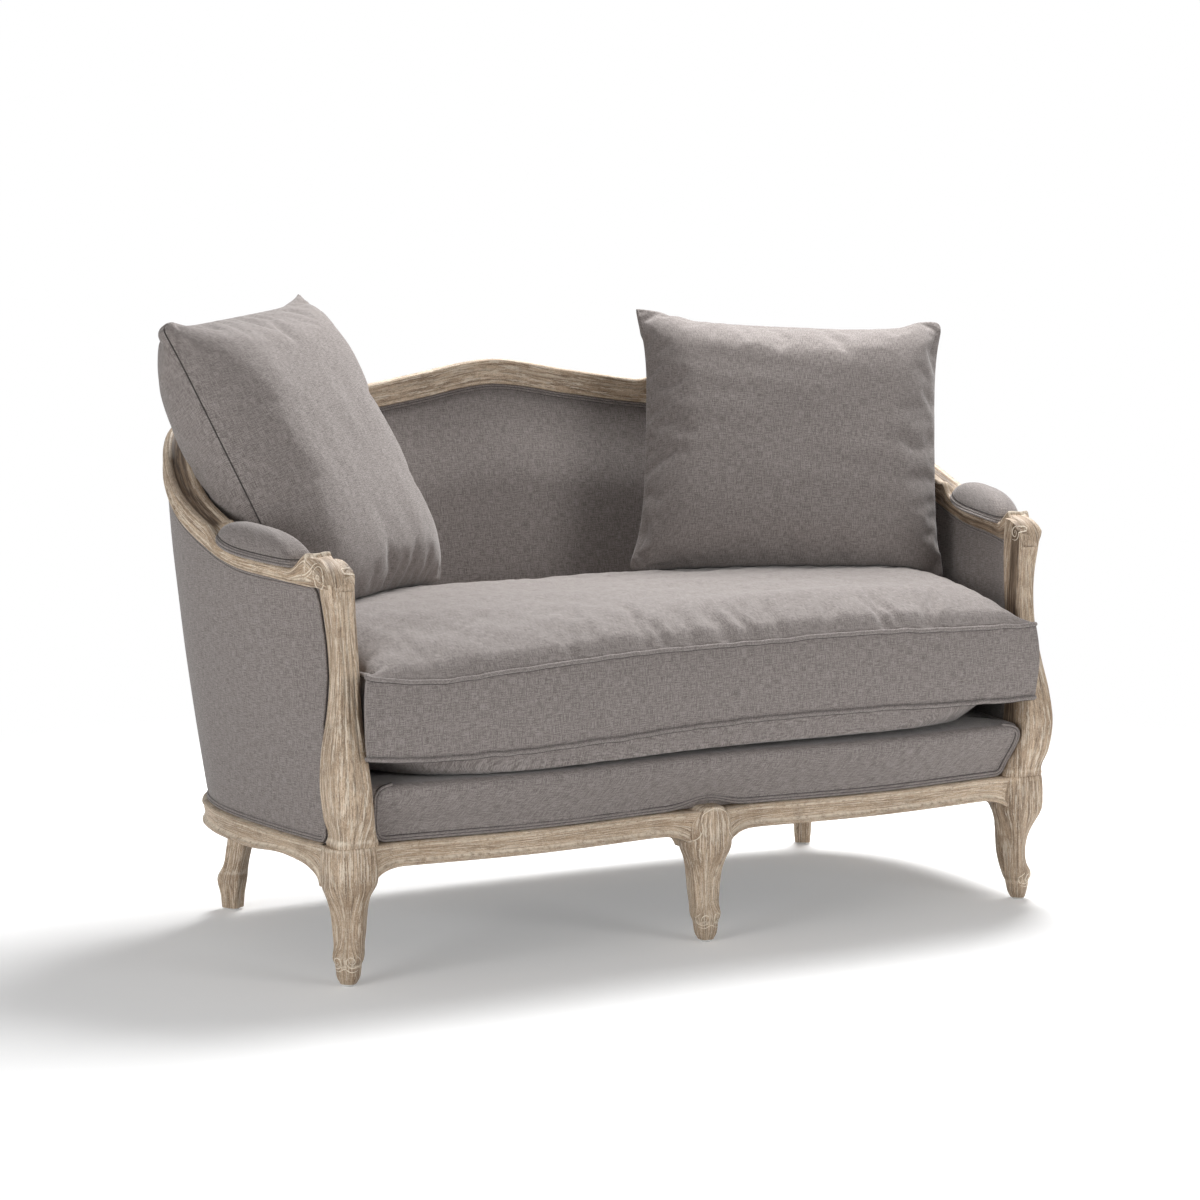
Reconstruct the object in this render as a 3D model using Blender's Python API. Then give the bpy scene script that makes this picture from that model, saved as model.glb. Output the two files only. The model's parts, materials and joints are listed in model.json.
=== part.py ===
"""Two-seat show-wood settee with a wrap-round back, loose seat cushion and two pillows.

Metres, +Z up, +X to the right seen from the front, +Y to the back.
The origin is on the floor under the middle of the settee.
"""
import math

import bmesh
import bpy
from mathutils import Vector

# Clearances
GAP = 0.0003                # touching pieces
SOFT_GAP = 0.0015           # loose cushions and what they lean on

# Plan of the wall that wraps the seat, right half
FEET_LINE = -0.3935         # centres of the front feet
SEAT_HALF_WIDTH = 0.733     # outer face at the seat rail
SEAT_REACH = 0.670          # front feet to the back of the seat rail
TOP_HALF_WIDTH = 0.776      # outer face at the arm rail
TOP_REACH = 0.838           # front feet to the back of the crest

# Heights
RAIL_BOTTOM = 0.192
RAIL_TOP = 0.2335
DECK_TOP = 0.3335
ARM_UNDER = 0.652           # underside of the arm rail at the front post
CREST_UNDER = 0.930         # underside of the crest in the middle
POST_TOP = 0.7015

# Wall, from the outer face inwards
PANEL_OUT = 0.003
PANEL_IN = 0.008
STILE_OUT = 0.0095
STILE_IN = 0.0250
PAD_OUT = 0.0265
PAD_IN = 0.0440
WALL_BULGE = 0.007          # fullness of the wall halfway up, round its corners
WALL_ROWS = 7
EDGE_SHARE = 0.25           # part of a pad over which its crown rises
BACK_CROWN = 0.026
ARM_CROWN = 0.012

# Top rail
ARM_RAIL_HEIGHT = 0.036
ARM_RAIL_SCOOP = 0.022      # height left under the arm pad
ARM_RAIL_NECK = 0.046       # height at the front post
CREST_HEIGHT = 0.042
TOP_RAIL_OUT = -0.004
TOP_RAIL_IN = 0.050
TOP_BEAD = 0.004

# Seat rails
RAIL_PROUD = 0.006
RAIL_DEPTH = 0.062
FRONT_RAIL_DEPTH = 0.050
FRONT_SETBACK = 0.010       # front rail face ahead of the feet line at its ends
FRONT_BOW = 0.022           # bow of each half of the front rail
BRACKET_DROP = 0.020
BRACKET_REACH = 0.045
SIDE_SCALLOP = 0.008        # rise of the side rail's lower edge behind its bracket
SCALLOP_REACH = 0.240
FRONT_RAIL_PLACES = 11

# Legs and posts
LEG_X = 0.675
LEG_BLOCK_IN = 0.045
LEG_BLOCK_BACK = 0.045
LEG_BLOCK_OUT = 0.037
LEG_BLOCK_FRONT = 0.034
LEG_SIZE = 0.040            # nominal thickness that the leg profile follows
CENTRE_LEG_Y = -0.011
CENTRE_BLOCK = 0.037
POST_SIZE = 0.040
BACK_LEG_SIZE = 0.036
BACK_LEG_SPLAY = 0.034
BACK_LEG_TURN = math.radians(33)
GLIDE_HEIGHT = 0.004
GLIDE_RADIUS = 0.011

# Upholstery
WELT_WIDTH = 0.0085
WELT_PROUD = 0.0045
WELT_STRIP = 0.011          # flat edge of a pad under its welt
ARM_PAD_RISE = 0.044
ARM_PAD_SIDE = 0.006
ARM_PAD_COLUMNS = 13
ARM_PAD_ROWS = 9
DECK_EDGE_RADIUS = 0.010
DECK_SLACK = 0.0015
BORDER_SETBACK = 0.002
BORDER_LEAN = 0.032           # how far its top stands ahead of its foot
BORDER_PLACES = 17

# Seat cushion
CUSHION_BOTTOM_SEAM = 0.367
CUSHION_TOP_SEAM = 0.503
CUSHION_CROWN = 0.088
CUSHION_HALF_WIDTH = 0.642
CUSHION_LIP = 0.051         # overhang ahead of the front rail
CUSHION_BOW = 0.012
CUSHION_EAR = 0.020         # how far its front corners pass in front of the posts
CUSHION_EAR_DEPTH = 0.006
CUSHION_NOTCH = 0.0125      # slant of the edge between an ear and the side
CUSHION_SELF_WELT = 0.0035
CUSHION_PLACES = 19

# Pillows
PILLOW_SIZE = 0.610
PILLOW_THICKNESS = 0.165
PILLOW_DRAW = 0.024         # how far the sides pull in between the corners
PILLOW_POINTS = 15

# Webbing and lining
WEB_WIDTH = 0.060
WEB_THICKNESS = 0.002
WEB_REACH = 0.540           # middle of the outermost seat web
SEAT_WEBS = 7
BACK_WEBS = 3
LINING_THICKNESS = 0.0015
LINING_LAP = 0.007

# Rows from the front post round to the middle of the back, as shares of the half widths,
# of the reaches, and of the rise from the arm's underside to the crest's underside
WALL_SHARES = (
    # top x, top y, seat x, seat y, rise
    (0.906, 0.000, 0.948, 0.000, 0.000),
    (0.952, 0.131, 0.973, 0.164, 0.040),
    (0.987, 0.286, 0.992, 0.351, 0.083),
    (1.002, 0.418, 1.000, 0.507, 0.190),
    (1.004, 0.545, 0.993, 0.644, 0.335),
    (0.974, 0.674, 0.962, 0.779, 0.530),
    (0.908, 0.790, 0.890, 0.897, 0.690),
    (0.782, 0.884, 0.766, 0.960, 0.790),
    (0.581, 0.937, 0.587, 0.985, 0.820),
    (0.432, 0.964, 0.437, 0.994, 0.835),
    (0.219, 0.990, 0.225, 1.000, 0.915),
    (0.000, 1.000, 0.000, 1.000, 1.000),
)
LAST_ROW = len(WALL_SHARES) - 1
CORNER_SHARE = 7 / LAST_ROW       # where the side rail meets the back rail
CREST_SHARE = 9 / LAST_ROW        # where the arm rail meets the crest
FACETS = 24                       # flats of each half of the wall; the first two are one
SQUARE_SHARE = 2 / FACETS         # up to here the wall's ends are cut square across
TRUE_SHARE = 5 / FACETS
BREAKS = [0.0] + [index / FACETS for index in range(2, FACETS + 1)]
PAD_START_SHARE = 0.056
PAD_END_SHARE = 0.242
PAD_BLEND_SHARE = 0.035
BACK_LEG_SHARE = 0.600

# Leg profile below the seat rail: height as a share of the rail's underside, then the
# outward, inward and sideways reach as shares of the leg size, and how far it is a block
LEG_SHARES = (
    (0.000, 0.30, 0.35, 0.32, 0.0),
    (0.060, 0.36, 0.47, 0.44, 0.0),
    (0.125, 0.46, 0.60, 0.51, 0.0),
    (0.205, 0.53, 0.70, 0.59, 0.0),
    (0.300, 0.37, 0.88, 0.60, 0.0),
    (0.450, 0.28, 1.03, 0.65, 0.0),
    (0.580, 0.34, 1.08, 0.70, 0.0),
    (0.720, 0.58, 1.10, 0.80, 0.0),
    (0.850, 0.84, 1.10, 0.90, 0.6),
    (0.940, 0.99, 1.12, 0.92, 1.0),
    (1.000, 1.03, 1.12, 0.92, 1.0),
)
# Post profile: height share, then outer, inner, front and back reach over the post size
POST_SHARES = (
    (0.000, 0.72, 1.15, 0.90, 0.60),
    (0.010, 0.75, 1.18, 0.93, 0.63),
    (0.022, 0.70, 1.12, 0.95, 0.58),
    (0.100, 0.86, 0.85, 1.30, 0.60),
    (0.210, 1.00, 0.66, 1.48, 0.62),
    (0.340, 0.95, 0.56, 1.18, 0.50),
    (0.465, 0.70, 0.50, 0.82, 0.42),
    (0.585, 0.50, 0.52, 0.55, 0.58),
    (0.700, 0.48, 0.52, 0.36, 0.80),
    (0.820, 0.58, 0.46, 0.25, 0.98),
    (0.890, 0.75, 0.42, 0.20, 1.075),
    (0.945, 0.90, 0.38, 0.36, 1.125),
    (0.985, 0.96, 0.34, 0.44, 1.125),
    (1.000, 0.90, 0.30, 0.38, 1.125),
)
ROUND = 2.0
POST_SQUARENESS = 5.0
LEG_SQUARENESS = 2.6
BACK_LEG_SQUARENESS = 5.2
BLOCK_SQUARENESS = 8.0
BACK_LEG_SHARES = (
    # height, backward shift, half depth, half width
    (0.00, 1.00, 0.46, 0.42),
    (0.12, 1.00, 0.50, 0.48),
    (0.30, 0.99, 0.68, 0.51),
    (0.42, 0.76, 0.54, 0.50),
    (0.60, 0.52, 0.56, 0.50),
    (0.80, 0.22, 0.64, 0.53),
    (1.00, 0.04, 0.72, 0.56),
)
# Seat rail moulding: proud share of the bead, height share of the rail
RAIL_BEAD_SHARES = ((0.0, 0.0), (0.7, 0.03), (0.8, 0.16), (0.2, 0.26), (0.0, 0.5),
                    (0.4, 0.74), (1.0, 0.82), (1.0, 0.95), (0.5, 1.0))
RAIL_BEAD = 0.004
# Top rail moulding: share across the rail from its outer face, share of its height, bead
TOP_RAIL_SHARES = ((0.04, 0.0, 0.0), (0.0, 0.25, 0.0), (0.0, 0.8, 0.0), (0.07, 1.0, 0.0),
                   (0.2, 1.0, 0.3), (0.33, 1.0, -0.7), (0.62, 1.0, 0.0), (0.8, 1.0, 1.4),
                   (0.94, 1.0, 1.5), (1.0, 1.0, 0.4), (1.0, 0.3, 0.0), (0.97, 0.0, 0.0))

# Pillow middles as shares of the top half width, reach and crest height, then the
# slumped width and height as shares of the pillow size
RIGHT_PILLOW_SHARES = (0.609, 0.571, 0.878, 1.000, 0.900)
LEFT_PILLOW_SHARES = (-0.673, 0.590, 0.898, 0.865, 0.985)
# Turn about Z, lean back and roll in the pillow's own plane, degrees
RIGHT_PILLOW_ANGLES = (-26, 25, -3)
LEFT_PILLOW_ANGLES = (37, 27, 4)
PILLOW_SWELL_SHARE = 0.55
BACK_WEB_SHARE = 0.2
GLIDE_SHARES = ((0.8, 0), (1, 0.4), (1, 1))
BRACKET_SHARES = (0, 0.12, 0.3, 0.6, 1)
# Levels of the welts up the posts
RUN_SHARES = (0.12, 0.25, 0.4, 0.55, 0.7, 0.82, 0.9)
# Cushion rings below its lower seam as (size, rise), and above its upper seam
CUSHION_LOWER_SHARES = ((0.35, 0), (0.8, 0), (0.93, 0.35), (0.98, 0.8))
CUSHION_UPPER_SHARES = (0.95, 0.88, 0.78, 0.64, 0.46, 0.26, 0.1)
CUSHION_DOME_SHARE = 0.62
ARM_PAD_TIP_SHARE = 0.25

WOOD = (0.42, 0.33, 0.24, 1.0)
FABRIC = (0.22, 0.19, 0.18, 1.0)
LINING = (0.03, 0.03, 0.03, 1.0)
WEB_TAN = (0.45, 0.36, 0.25, 1.0)
NYLON = (0.75, 0.75, 0.73, 1.0)
BARE_WOOD = (0.55, 0.42, 0.28, 1.0)
SHARP_ANGLE = math.radians(40)
WOOD_ROUGHNESS = 0.6
FABRIC_ROUGHNESS = 0.95
NYLON_ROUGHNESS = 0.4


def clear_scene():
    for item in list(bpy.data.objects):
        bpy.data.objects.remove(item, do_unlink=True)


def smooth(share):
    share = min(max(share, 0.0), 1.0)
    return share * share * (3 - 2 * share)


def mix(first, second, share):
    return first + (second - first) * share


def spread(first, last, count):
    return [mix(first, last, index / (count - 1)) for index in range(count)]


def table_value(rows, at, column):
    """Straight-line reading of a table whose first column rises."""
    for low, high in zip(rows, rows[1:]):
        if at <= high[0]:
            return mix(low[column], high[column], max(0.0, (at - low[0]) / (high[0] - low[0])))
    return rows[-1][column]


# Solids

def make_object(name, mesh_builder, colour, roughness):
    """Turn a bmesh builder into a named object with its own material."""
    bm = bmesh.new()
    mesh_builder(bm)
    bmesh.ops.recalc_face_normals(bm, faces=bm.faces)
    if bm.calc_volume(signed=True) < 0:
        bmesh.ops.reverse_faces(bm, faces=bm.faces)
    mesh = bpy.data.meshes.new(name)
    bm.to_mesh(mesh)
    bm.free()
    mesh.shade_smooth()
    mesh.set_sharp_from_angle(angle=SHARP_ANGLE)
    material = bpy.data.materials.new(name)
    material.use_nodes = True
    shader = material.node_tree.nodes["Principled BSDF"]
    shader.inputs["Base Color"].default_value = colour
    shader.inputs["Roughness"].default_value = roughness
    shader.inputs["Metallic"].default_value = 0.0
    mesh.materials.append(material)
    item = bpy.data.objects.new(name, mesh)
    bpy.context.collection.objects.link(item)
    return item


def loft(name, rings, colour, roughness, closed=False):
    """Skin rings of equal count; the ends are capped unless the loft closes on itself."""
    def build(bm):
        loops = [[bm.verts.new(point) for point in ring] for ring in rings]
        pairs = list(zip(loops, loops[1:]))
        if closed:
            pairs.append((loops[-1], loops[0]))
        for low, high in pairs:
            for index in range(len(low)):
                after = (index + 1) % len(low)
                bm.faces.new((low[index], low[after], high[after], high[index]))
        if not closed:
            bm.faces.new(loops[0])
            bm.faces.new(reversed(loops[-1]))
    return make_object(name, build, colour, roughness)


def shell(name, outer, inner, colour, roughness):
    """Closed solid between two grids of points of the same size."""
    def build(bm):
        sheets = [[[bm.verts.new(point) for point in row] for row in grid]
                  for grid in (outer, inner)]
        rows, columns = len(outer), len(outer[0])
        for sheet in sheets:
            for i in range(rows - 1):
                for j in range(columns - 1):
                    bm.faces.new((sheet[i][j], sheet[i + 1][j],
                                  sheet[i + 1][j + 1], sheet[i][j + 1]))
        border = [(i, 0) for i in range(rows)]
        border += [(rows - 1, j) for j in range(1, columns)]
        border += [(i, columns - 1) for i in range(rows - 2, -1, -1)]
        border += [(0, j) for j in range(columns - 2, 0, -1)]
        for (i, j), (k, m) in zip(border, border[1:] + border[:1]):
            bm.faces.new((sheets[0][i][j], sheets[0][k][m], sheets[1][k][m], sheets[1][i][j]))
    return make_object(name, build, colour, roughness)


def reach_ring(centre, forward, reaches, z, squareness, block=None, count=16):
    """A rounded square ring. Reaches are forward, backward and sideways (one or two)."""
    sideways = Vector((-forward.y, forward.x))
    ring = []
    for index in range(count):
        angle = 2 * math.pi * index / count
        radius = polar_reach(angle, reaches, squareness)
        if block:
            turn, block_reaches, share = block
            radius = mix(radius, polar_reach(angle + turn, block_reaches, BLOCK_SQUARENESS), share)
        point = centre + forward * radius * math.cos(angle) + sideways * radius * math.sin(angle)
        ring.append(Vector((point.x, point.y, z)))
    return ring


def polar_reach(angle, reaches, squareness):
    ahead, behind, left, right = reaches
    along, across = math.cos(angle), math.sin(angle)
    length = abs(along) / (ahead if along > 0 else behind)
    width = abs(across) / (left if across > 0 else right)
    return (length ** squareness + width ** squareness) ** (-1 / squareness)


# The wall that wraps the seat. A station runs from -1 at the left post through 0 at the
# middle of the back to 1 at the right post.

def wall_row(share, column):
    """Smooth reading of the wall table, mirrored past the middle of the back."""
    place = min(max(share, 0.0), 1.0) * LAST_ROW
    row = min(int(place), LAST_ROW - 1)
    part = place - row
    values = []
    for index in range(row - 1, row + 3):
        if index < 0:
            value = 2 * WALL_SHARES[0][column] - WALL_SHARES[1][column]
        elif index > LAST_ROW:
            value = WALL_SHARES[2 * LAST_ROW - index][column]
            value = -value if column in (0, 2) else value
        else:
            value = WALL_SHARES[index][column]
        values.append(value)
    before, start, end, after = values
    return start + 0.5 * part * (
        end - before + part * (2 * before - 5 * start + 4 * end - after
                               + part * (3 * (start - end) + after - before)))


def outline(share, level):
    """Outer face of the wall, right half, at a level from the seat rail (0) to the top (1)."""
    x = mix(SEAT_HALF_WIDTH * wall_row(share, 2), TOP_HALF_WIDTH * wall_row(share, 0), level)
    y = mix(SEAT_REACH * wall_row(share, 3), TOP_REACH * wall_row(share, 1), level)
    return Vector((x, y + FEET_LINE))


def ruling(share, level, depth):
    """A point of the smooth wall in plan, right half, a depth inside its outer face."""
    step = 1 / (8 * FACETS)
    run = outline(min(share + step, 1), level) - outline(max(share - step, 0), level)
    inward = Vector((-run.y, run.x)).normalized()
    true = smooth((share - SQUARE_SHARE) / (TRUE_SHARE - SQUARE_SHARE))
    inward = Vector((-1, 0)).lerp(inward, true).normalized()
    if share >= 1:
        inward = Vector((0, -1))
    full = WALL_BULGE * 4 * level * (1 - level) * math.sin(math.pi * share) ** 2
    return outline(share, level) + inward * (depth - full)


def facet(share):
    """The two breaks around a share, and how far it is between them."""
    for low, high in zip(BREAKS, BREAKS[1:]):
        if share <= high:
            return low, high, (share - low) / (high - low)
    return BREAKS[-2], BREAKS[-1], 1.0


def wall_plan(station, level, depth):
    """A point of the faceted wall in plan, which all its layers share."""
    low, high, part = facet(1 - abs(station))
    point = ruling(low, level, depth).lerp(ruling(high, level, depth), part)
    return Vector((point.x if station > 0 else -point.x, point.y))


def top_under(station):
    """Underside of the top rail."""
    low, high, part = facet(1 - abs(station))
    rise = mix(wall_row(low, 4), wall_row(high, 4), part)
    return mix(ARM_UNDER, CREST_UNDER, rise)


def stations_between(first, last):
    """Both ends and every break of the wall between them."""
    breaks = sorted({side * (1 - share) for share in BREAKS for side in (-1, 1)})
    inside = [s for s in breaks if min(first, last) + GAP < s < max(first, last) - GAP]
    return [first] + (inside if first < last else inside[::-1]) + [last]


def top_height(station):
    """Height of the top rail: necked at the post, scooped under the arm pad."""
    share = 1 - abs(station)
    full = mix(ARM_RAIL_NECK, ARM_RAIL_HEIGHT, smooth(share / PAD_END_SHARE))
    full = mix(full, CREST_HEIGHT, smooth((share - CORNER_SHARE) / (1 - CORNER_SHARE)))
    scoop = smooth((share - PAD_START_SHARE) / PAD_BLEND_SHARE + 1 / 2)
    scoop *= 1 - smooth((share - PAD_END_SHARE) / PAD_BLEND_SHARE + 1 / 2)
    return mix(full, ARM_RAIL_SCOOP, scoop)


def wall_level(station, z):
    base = RAIL_TOP + GAP
    return (z - base) / (top_under(station) - base)


def wall_point(station, level, depth):
    """A point between the seat rail (level 0) and the top rail (level 1)."""
    plan = wall_plan(station, level, depth)
    z = mix(RAIL_TOP + GAP, top_under(station) - GAP, level)
    return Vector((plan.x, plan.y, z))


def post_back(z):
    """How far behind the feet line the front post reaches at a height."""
    return FEET_LINE + POST_SIZE * table_value(POST_SHARES, post_share(z), 4)


def post_share(z):
    base = RAIL_TOP + GAP
    return (z - base) / (POST_TOP - base)


def post_z(share):
    return mix(RAIL_TOP + GAP, POST_TOP, share)


def station_behind(y, level, side):
    """The station whose outer face lies at a place just behind the post."""
    low, high = 0.0, SQUARE_SHARE
    for _ in range(30):
        middle = (low + high) / 2
        if wall_plan(1 - middle, level, 0).y < y:
            low = middle
        else:
            high = middle
    return side * (1 - high)


# Show wood

def front_face(x):
    """Front rail's face in plan: each half bows forward."""
    return FEET_LINE - FRONT_SETBACK - FRONT_BOW * math.sin(math.pi * abs(x) / LEG_X) ** 2


def bracket(distance):
    """How far a rail's lower edge drops at a distance from the leg block."""
    near = 1 - min(distance / BRACKET_REACH, 1.0)
    return BRACKET_DROP * (1 - math.sqrt(1 - near * near))


def scallop(distance):
    """How far a side rail's lower edge rises at a distance from the leg block."""
    return SIDE_SCALLOP * math.sin(math.pi * min(distance / SCALLOP_REACH, 1.0)) ** 2


def moulded_section(depth, bottom):
    """Seat rail section as (outward, z) pairs, from the lower outer edge round."""
    section = [(RAIL_BEAD * proud, mix(bottom, RAIL_TOP, rise))
               for proud, rise in RAIL_BEAD_SHARES]
    return section + [(-depth, RAIL_TOP), (-depth, max(bottom, RAIL_BOTTOM))]


def front_rail(name, side):
    start, end = CENTRE_BLOCK + GAP, LEG_X - LEG_BLOCK_IN - GAP
    places = [start + BRACKET_REACH * share for share in BRACKET_SHARES]
    places += spread(start + BRACKET_REACH, end - BRACKET_REACH, FRONT_RAIL_PLACES)[1:-1]
    places += [end - BRACKET_REACH * share for share in reversed(BRACKET_SHARES)]
    rings = []
    for x in places:
        bottom = RAIL_BOTTOM - bracket(min(x - start, end - x))
        face = front_face(x)
        rings.append([Vector((side * x, face - out, z))
                      for out, z in moulded_section(FRONT_RAIL_DEPTH, bottom)])
    return loft(name, rings, WOOD, WOOD_ROUGHNESS)


def wall_rail(name, stations, drop_at=None):
    """Side or back seat rail along the wall's lower outline."""
    rings = []
    for station in stations:
        bottom = RAIL_BOTTOM
        if drop_at is not None:
            distance = abs(wall_plan(station, 0, 0).y - drop_at)
            bottom += scallop(distance) - bracket(distance)
        ring = []
        for out, z in moulded_section(RAIL_DEPTH, bottom):
            plan = wall_plan(station, 0, -out - RAIL_PROUD)
            ring.append(Vector((plan.x, plan.y, z)))
        rings.append(ring)
    return loft(name, rings, WOOD, WOOD_ROUGHNESS)


def top_rail(name, stations):
    """Arm rail or crest: a moulded section along the wall's upper outline."""
    width = TOP_RAIL_IN - TOP_RAIL_OUT
    rings = []
    for station in stations:
        under, height = top_under(station), top_height(station)
        ring = []
        for across, rise, bead in TOP_RAIL_SHARES:
            plan = wall_plan(station, 1, TOP_RAIL_OUT + width * across)
            ring.append(Vector((plan.x, plan.y, under + height * rise + TOP_BEAD * bead)))
        rings.append(ring)
    return loft(name, rings, WOOD, WOOD_ROUGHNESS)


def leg(name, centre, forward, turn, block_reaches):
    """Cabriole leg with its block between the rails."""
    foot = GLIDE_HEIGHT + GAP
    rings = []
    for height, out, back, across, share in LEG_SHARES:
        reaches = (LEG_SIZE * out, LEG_SIZE * back, LEG_SIZE * across, LEG_SIZE * across)
        rings.append(reach_ring(centre, forward, reaches, mix(foot, RAIL_BOTTOM, height),
                                LEG_SQUARENESS, (turn, block_reaches, share)))
    top = [Vector((point.x, point.y, RAIL_TOP)) for point in rings[-1]]
    return loft(name, rings + [top], WOOD, WOOD_ROUGHNESS)


def post(name, side):
    centre = Vector((side * LEG_X, FEET_LINE))
    forward = Vector((0, -1))
    rings = []
    for height, outer, inner, front, back in POST_SHARES:
        right, left = (outer, inner) if side > 0 else (inner, outer)
        reaches = [POST_SIZE * share for share in (front, back, right, left)]
        rings.append(reach_ring(centre, forward, reaches,
                                mix(RAIL_TOP + GAP, POST_TOP, height), POST_SQUARENESS))
    return loft(name, rings, WOOD, WOOD_ROUGHNESS)


def back_leg_top(side):
    return wall_plan(side * (1 - BACK_LEG_SHARE), 0, RAIL_DEPTH / 3)


def back_leg_way(side):
    return Vector((side * math.sin(BACK_LEG_TURN), math.cos(BACK_LEG_TURN)))


def back_leg(name, side):
    way = back_leg_way(side)
    foot = GLIDE_HEIGHT + GAP
    rings = []
    for height, shift, deep, wide in BACK_LEG_SHARES:
        centre = back_leg_top(side) + way * BACK_LEG_SPLAY * shift
        reaches = (BACK_LEG_SIZE * deep,) * 2 + (BACK_LEG_SIZE * wide,) * 2
        rings.append(reach_ring(centre, way, reaches, mix(foot, RAIL_BOTTOM - GAP, height),
                                BACK_LEG_SQUARENESS))
    return loft(name, rings, WOOD, WOOD_ROUGHNESS)


def foot_glide(name, centre):
    forward = Vector((0, -1))
    rings = [reach_ring(centre, forward, (GLIDE_RADIUS * share,) * 4, GLIDE_HEIGHT * height, ROUND)
             for share, height in GLIDE_SHARES]
    return loft(name, rings, NYLON, NYLON_ROUGHNESS)


# Inner frame and webbing

def stile(name, side):
    """Hidden upright in the wall over a back leg."""
    half = BACK_LEG_SIZE / SEAT_REACH / 2
    middle = side * (1 - BACK_LEG_SHARE)
    stations = stations_between(middle - half, middle + half)
    levels = spread(0, 1, WALL_ROWS)
    outer = [[wall_point(s, v, STILE_OUT) for v in levels] for s in stations]
    inner = [[wall_point(s, v, STILE_IN) for v in levels] for s in stations]
    return shell(name, outer, inner, BARE_WOOD, WOOD_ROUGHNESS)


def back_web(name, middle):
    half = WEB_WIDTH / TOP_REACH / 2
    stations = stations_between(middle - half, middle + half)
    levels = spread(0, 1, WALL_ROWS)
    near = STILE_IN - WEB_THICKNESS
    outer = [[wall_point(s, v, near) for v in levels] for s in stations]
    inner = [[wall_point(s, v, STILE_IN) for v in levels] for s in stations]
    return shell(name, outer, inner, WEB_TAN, FABRIC_ROUGHNESS)


def seat_web(name, x):
    """Elastic web from the front rail's top to the back rail's top."""
    front = front_face(x) + FRONT_RAIL_DEPTH / 2
    back = back_inner_y(x)
    base = RAIL_TOP + GAP
    rings = [[Vector((x + half, y, z)) for half, z in
              ((-WEB_WIDTH / 2, base), (WEB_WIDTH / 2, base),
               (WEB_WIDTH / 2, base + WEB_THICKNESS), (-WEB_WIDTH / 2, base + WEB_THICKNESS))]
             for y in (front, back)]
    return loft(name, rings, WEB_TAN, FABRIC_ROUGHNESS)


def back_inner_y(x):
    """Where the inside pads' face crosses a web's outer edge, less a clearance."""
    reach = abs(x) + WEB_WIDTH / 2
    low, high = 0.0, 1.0 - SQUARE_SHARE
    for _ in range(30):
        middle = (low + high) / 2
        if wall_plan(middle, 0, PAD_IN).x < reach:
            low = middle
        else:
            high = middle
    return wall_plan(low, 0, PAD_IN).y - SOFT_GAP


# Upholstery on the frame

def wall_pad(name, columns, levels, crown):
    """Inside pad: flat at its edges, crowned over the seat."""
    outer, inner = [], []
    first, last = columns[1](levels[0]), columns[-2](levels[0])
    for column in columns:
        outer_row, inner_row = [], []
        for level in levels:
            station = column(level)
            share = (station - first) / (last - first)
            side_lift = smooth(share / EDGE_SHARE) * smooth((1 - share) / EDGE_SHARE)
            lift = smooth((level - levels[1]) / EDGE_SHARE)
            lift *= smooth((levels[-2] - level) / EDGE_SHARE)
            outer_row.append(wall_point(station, level, PAD_OUT))
            inner_row.append(wall_point(station, level, PAD_IN + crown * lift * side_lift))
        outer.append(outer_row)
        inner.append(inner_row)
    return shell(name, outer, inner, FABRIC, FABRIC_ROUGHNESS)


def behind_post(side, clearance):
    """A column of the wall that follows the back of the front post."""
    def at(level):
        z = mix(RAIL_TOP, ARM_UNDER, level)
        return station_behind(post_back(z) + clearance, level, side)
    return at


def fixed(station):
    return lambda level: station


def arm_columns(side, clearances):
    """Columns from behind the post to the corner of the back."""
    ahead = [behind_post(side, clearance) for clearance in clearances]
    first, last = side * (1 - SQUARE_SHARE), side * (1 - CORNER_SHARE)
    return ahead + [fixed(station) for station in stations_between(first, last)]


def outside_arm_panel(name, side):
    columns = arm_columns(side, [WELT_WIDTH / 2])
    levels = spread(0, 1, WALL_ROWS)
    outer = [[wall_point(column(v), v, PANEL_OUT) for v in levels] for column in columns]
    inner = [[wall_point(column(v), v, PANEL_IN) for v in levels] for column in columns]
    return shell(name, outer, inner, FABRIC, FABRIC_ROUGHNESS)


def outside_back_panel(name):
    edge = 1 - CORNER_SHARE - GAP * 2
    levels = spread(0, 1, WALL_ROWS)
    stations = stations_between(-edge, edge)
    outer = [[wall_point(s, v, PANEL_OUT) for v in levels] for s in stations]
    inner = [[wall_point(s, v, PANEL_IN) for v in levels] for s in stations]
    return shell(name, outer, inner, FABRIC, FABRIC_ROUGHNESS)


def deck_side(z):
    """Half width of the deck between the posts."""
    return LEG_X - POST_SIZE * table_value(POST_SHARES, post_share(z), 2) - GAP


def border_face(x, z):
    """Front of the deck in plan, in flats that its welt shares."""
    rows = [(place, front_face(place)) for place in border_places(z)]
    foot = post_z(POST_SHARES[2][0])
    lean = BORDER_LEAN * smooth((z - foot) / (DECK_TOP - DECK_EDGE_RADIUS - foot))
    return table_value(rows, x, 1) + BORDER_SETBACK - lean


def border_places(z, inset=0.0):
    """Widths along the deck's front: the ends follow the posts, the rest stay put."""
    ends = deck_side(RAIL_TOP)
    places = spread(-ends, ends, BORDER_PLACES)
    return [inset - deck_side(z)] + places[1:-1] + [deck_side(z) - inset]


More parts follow.
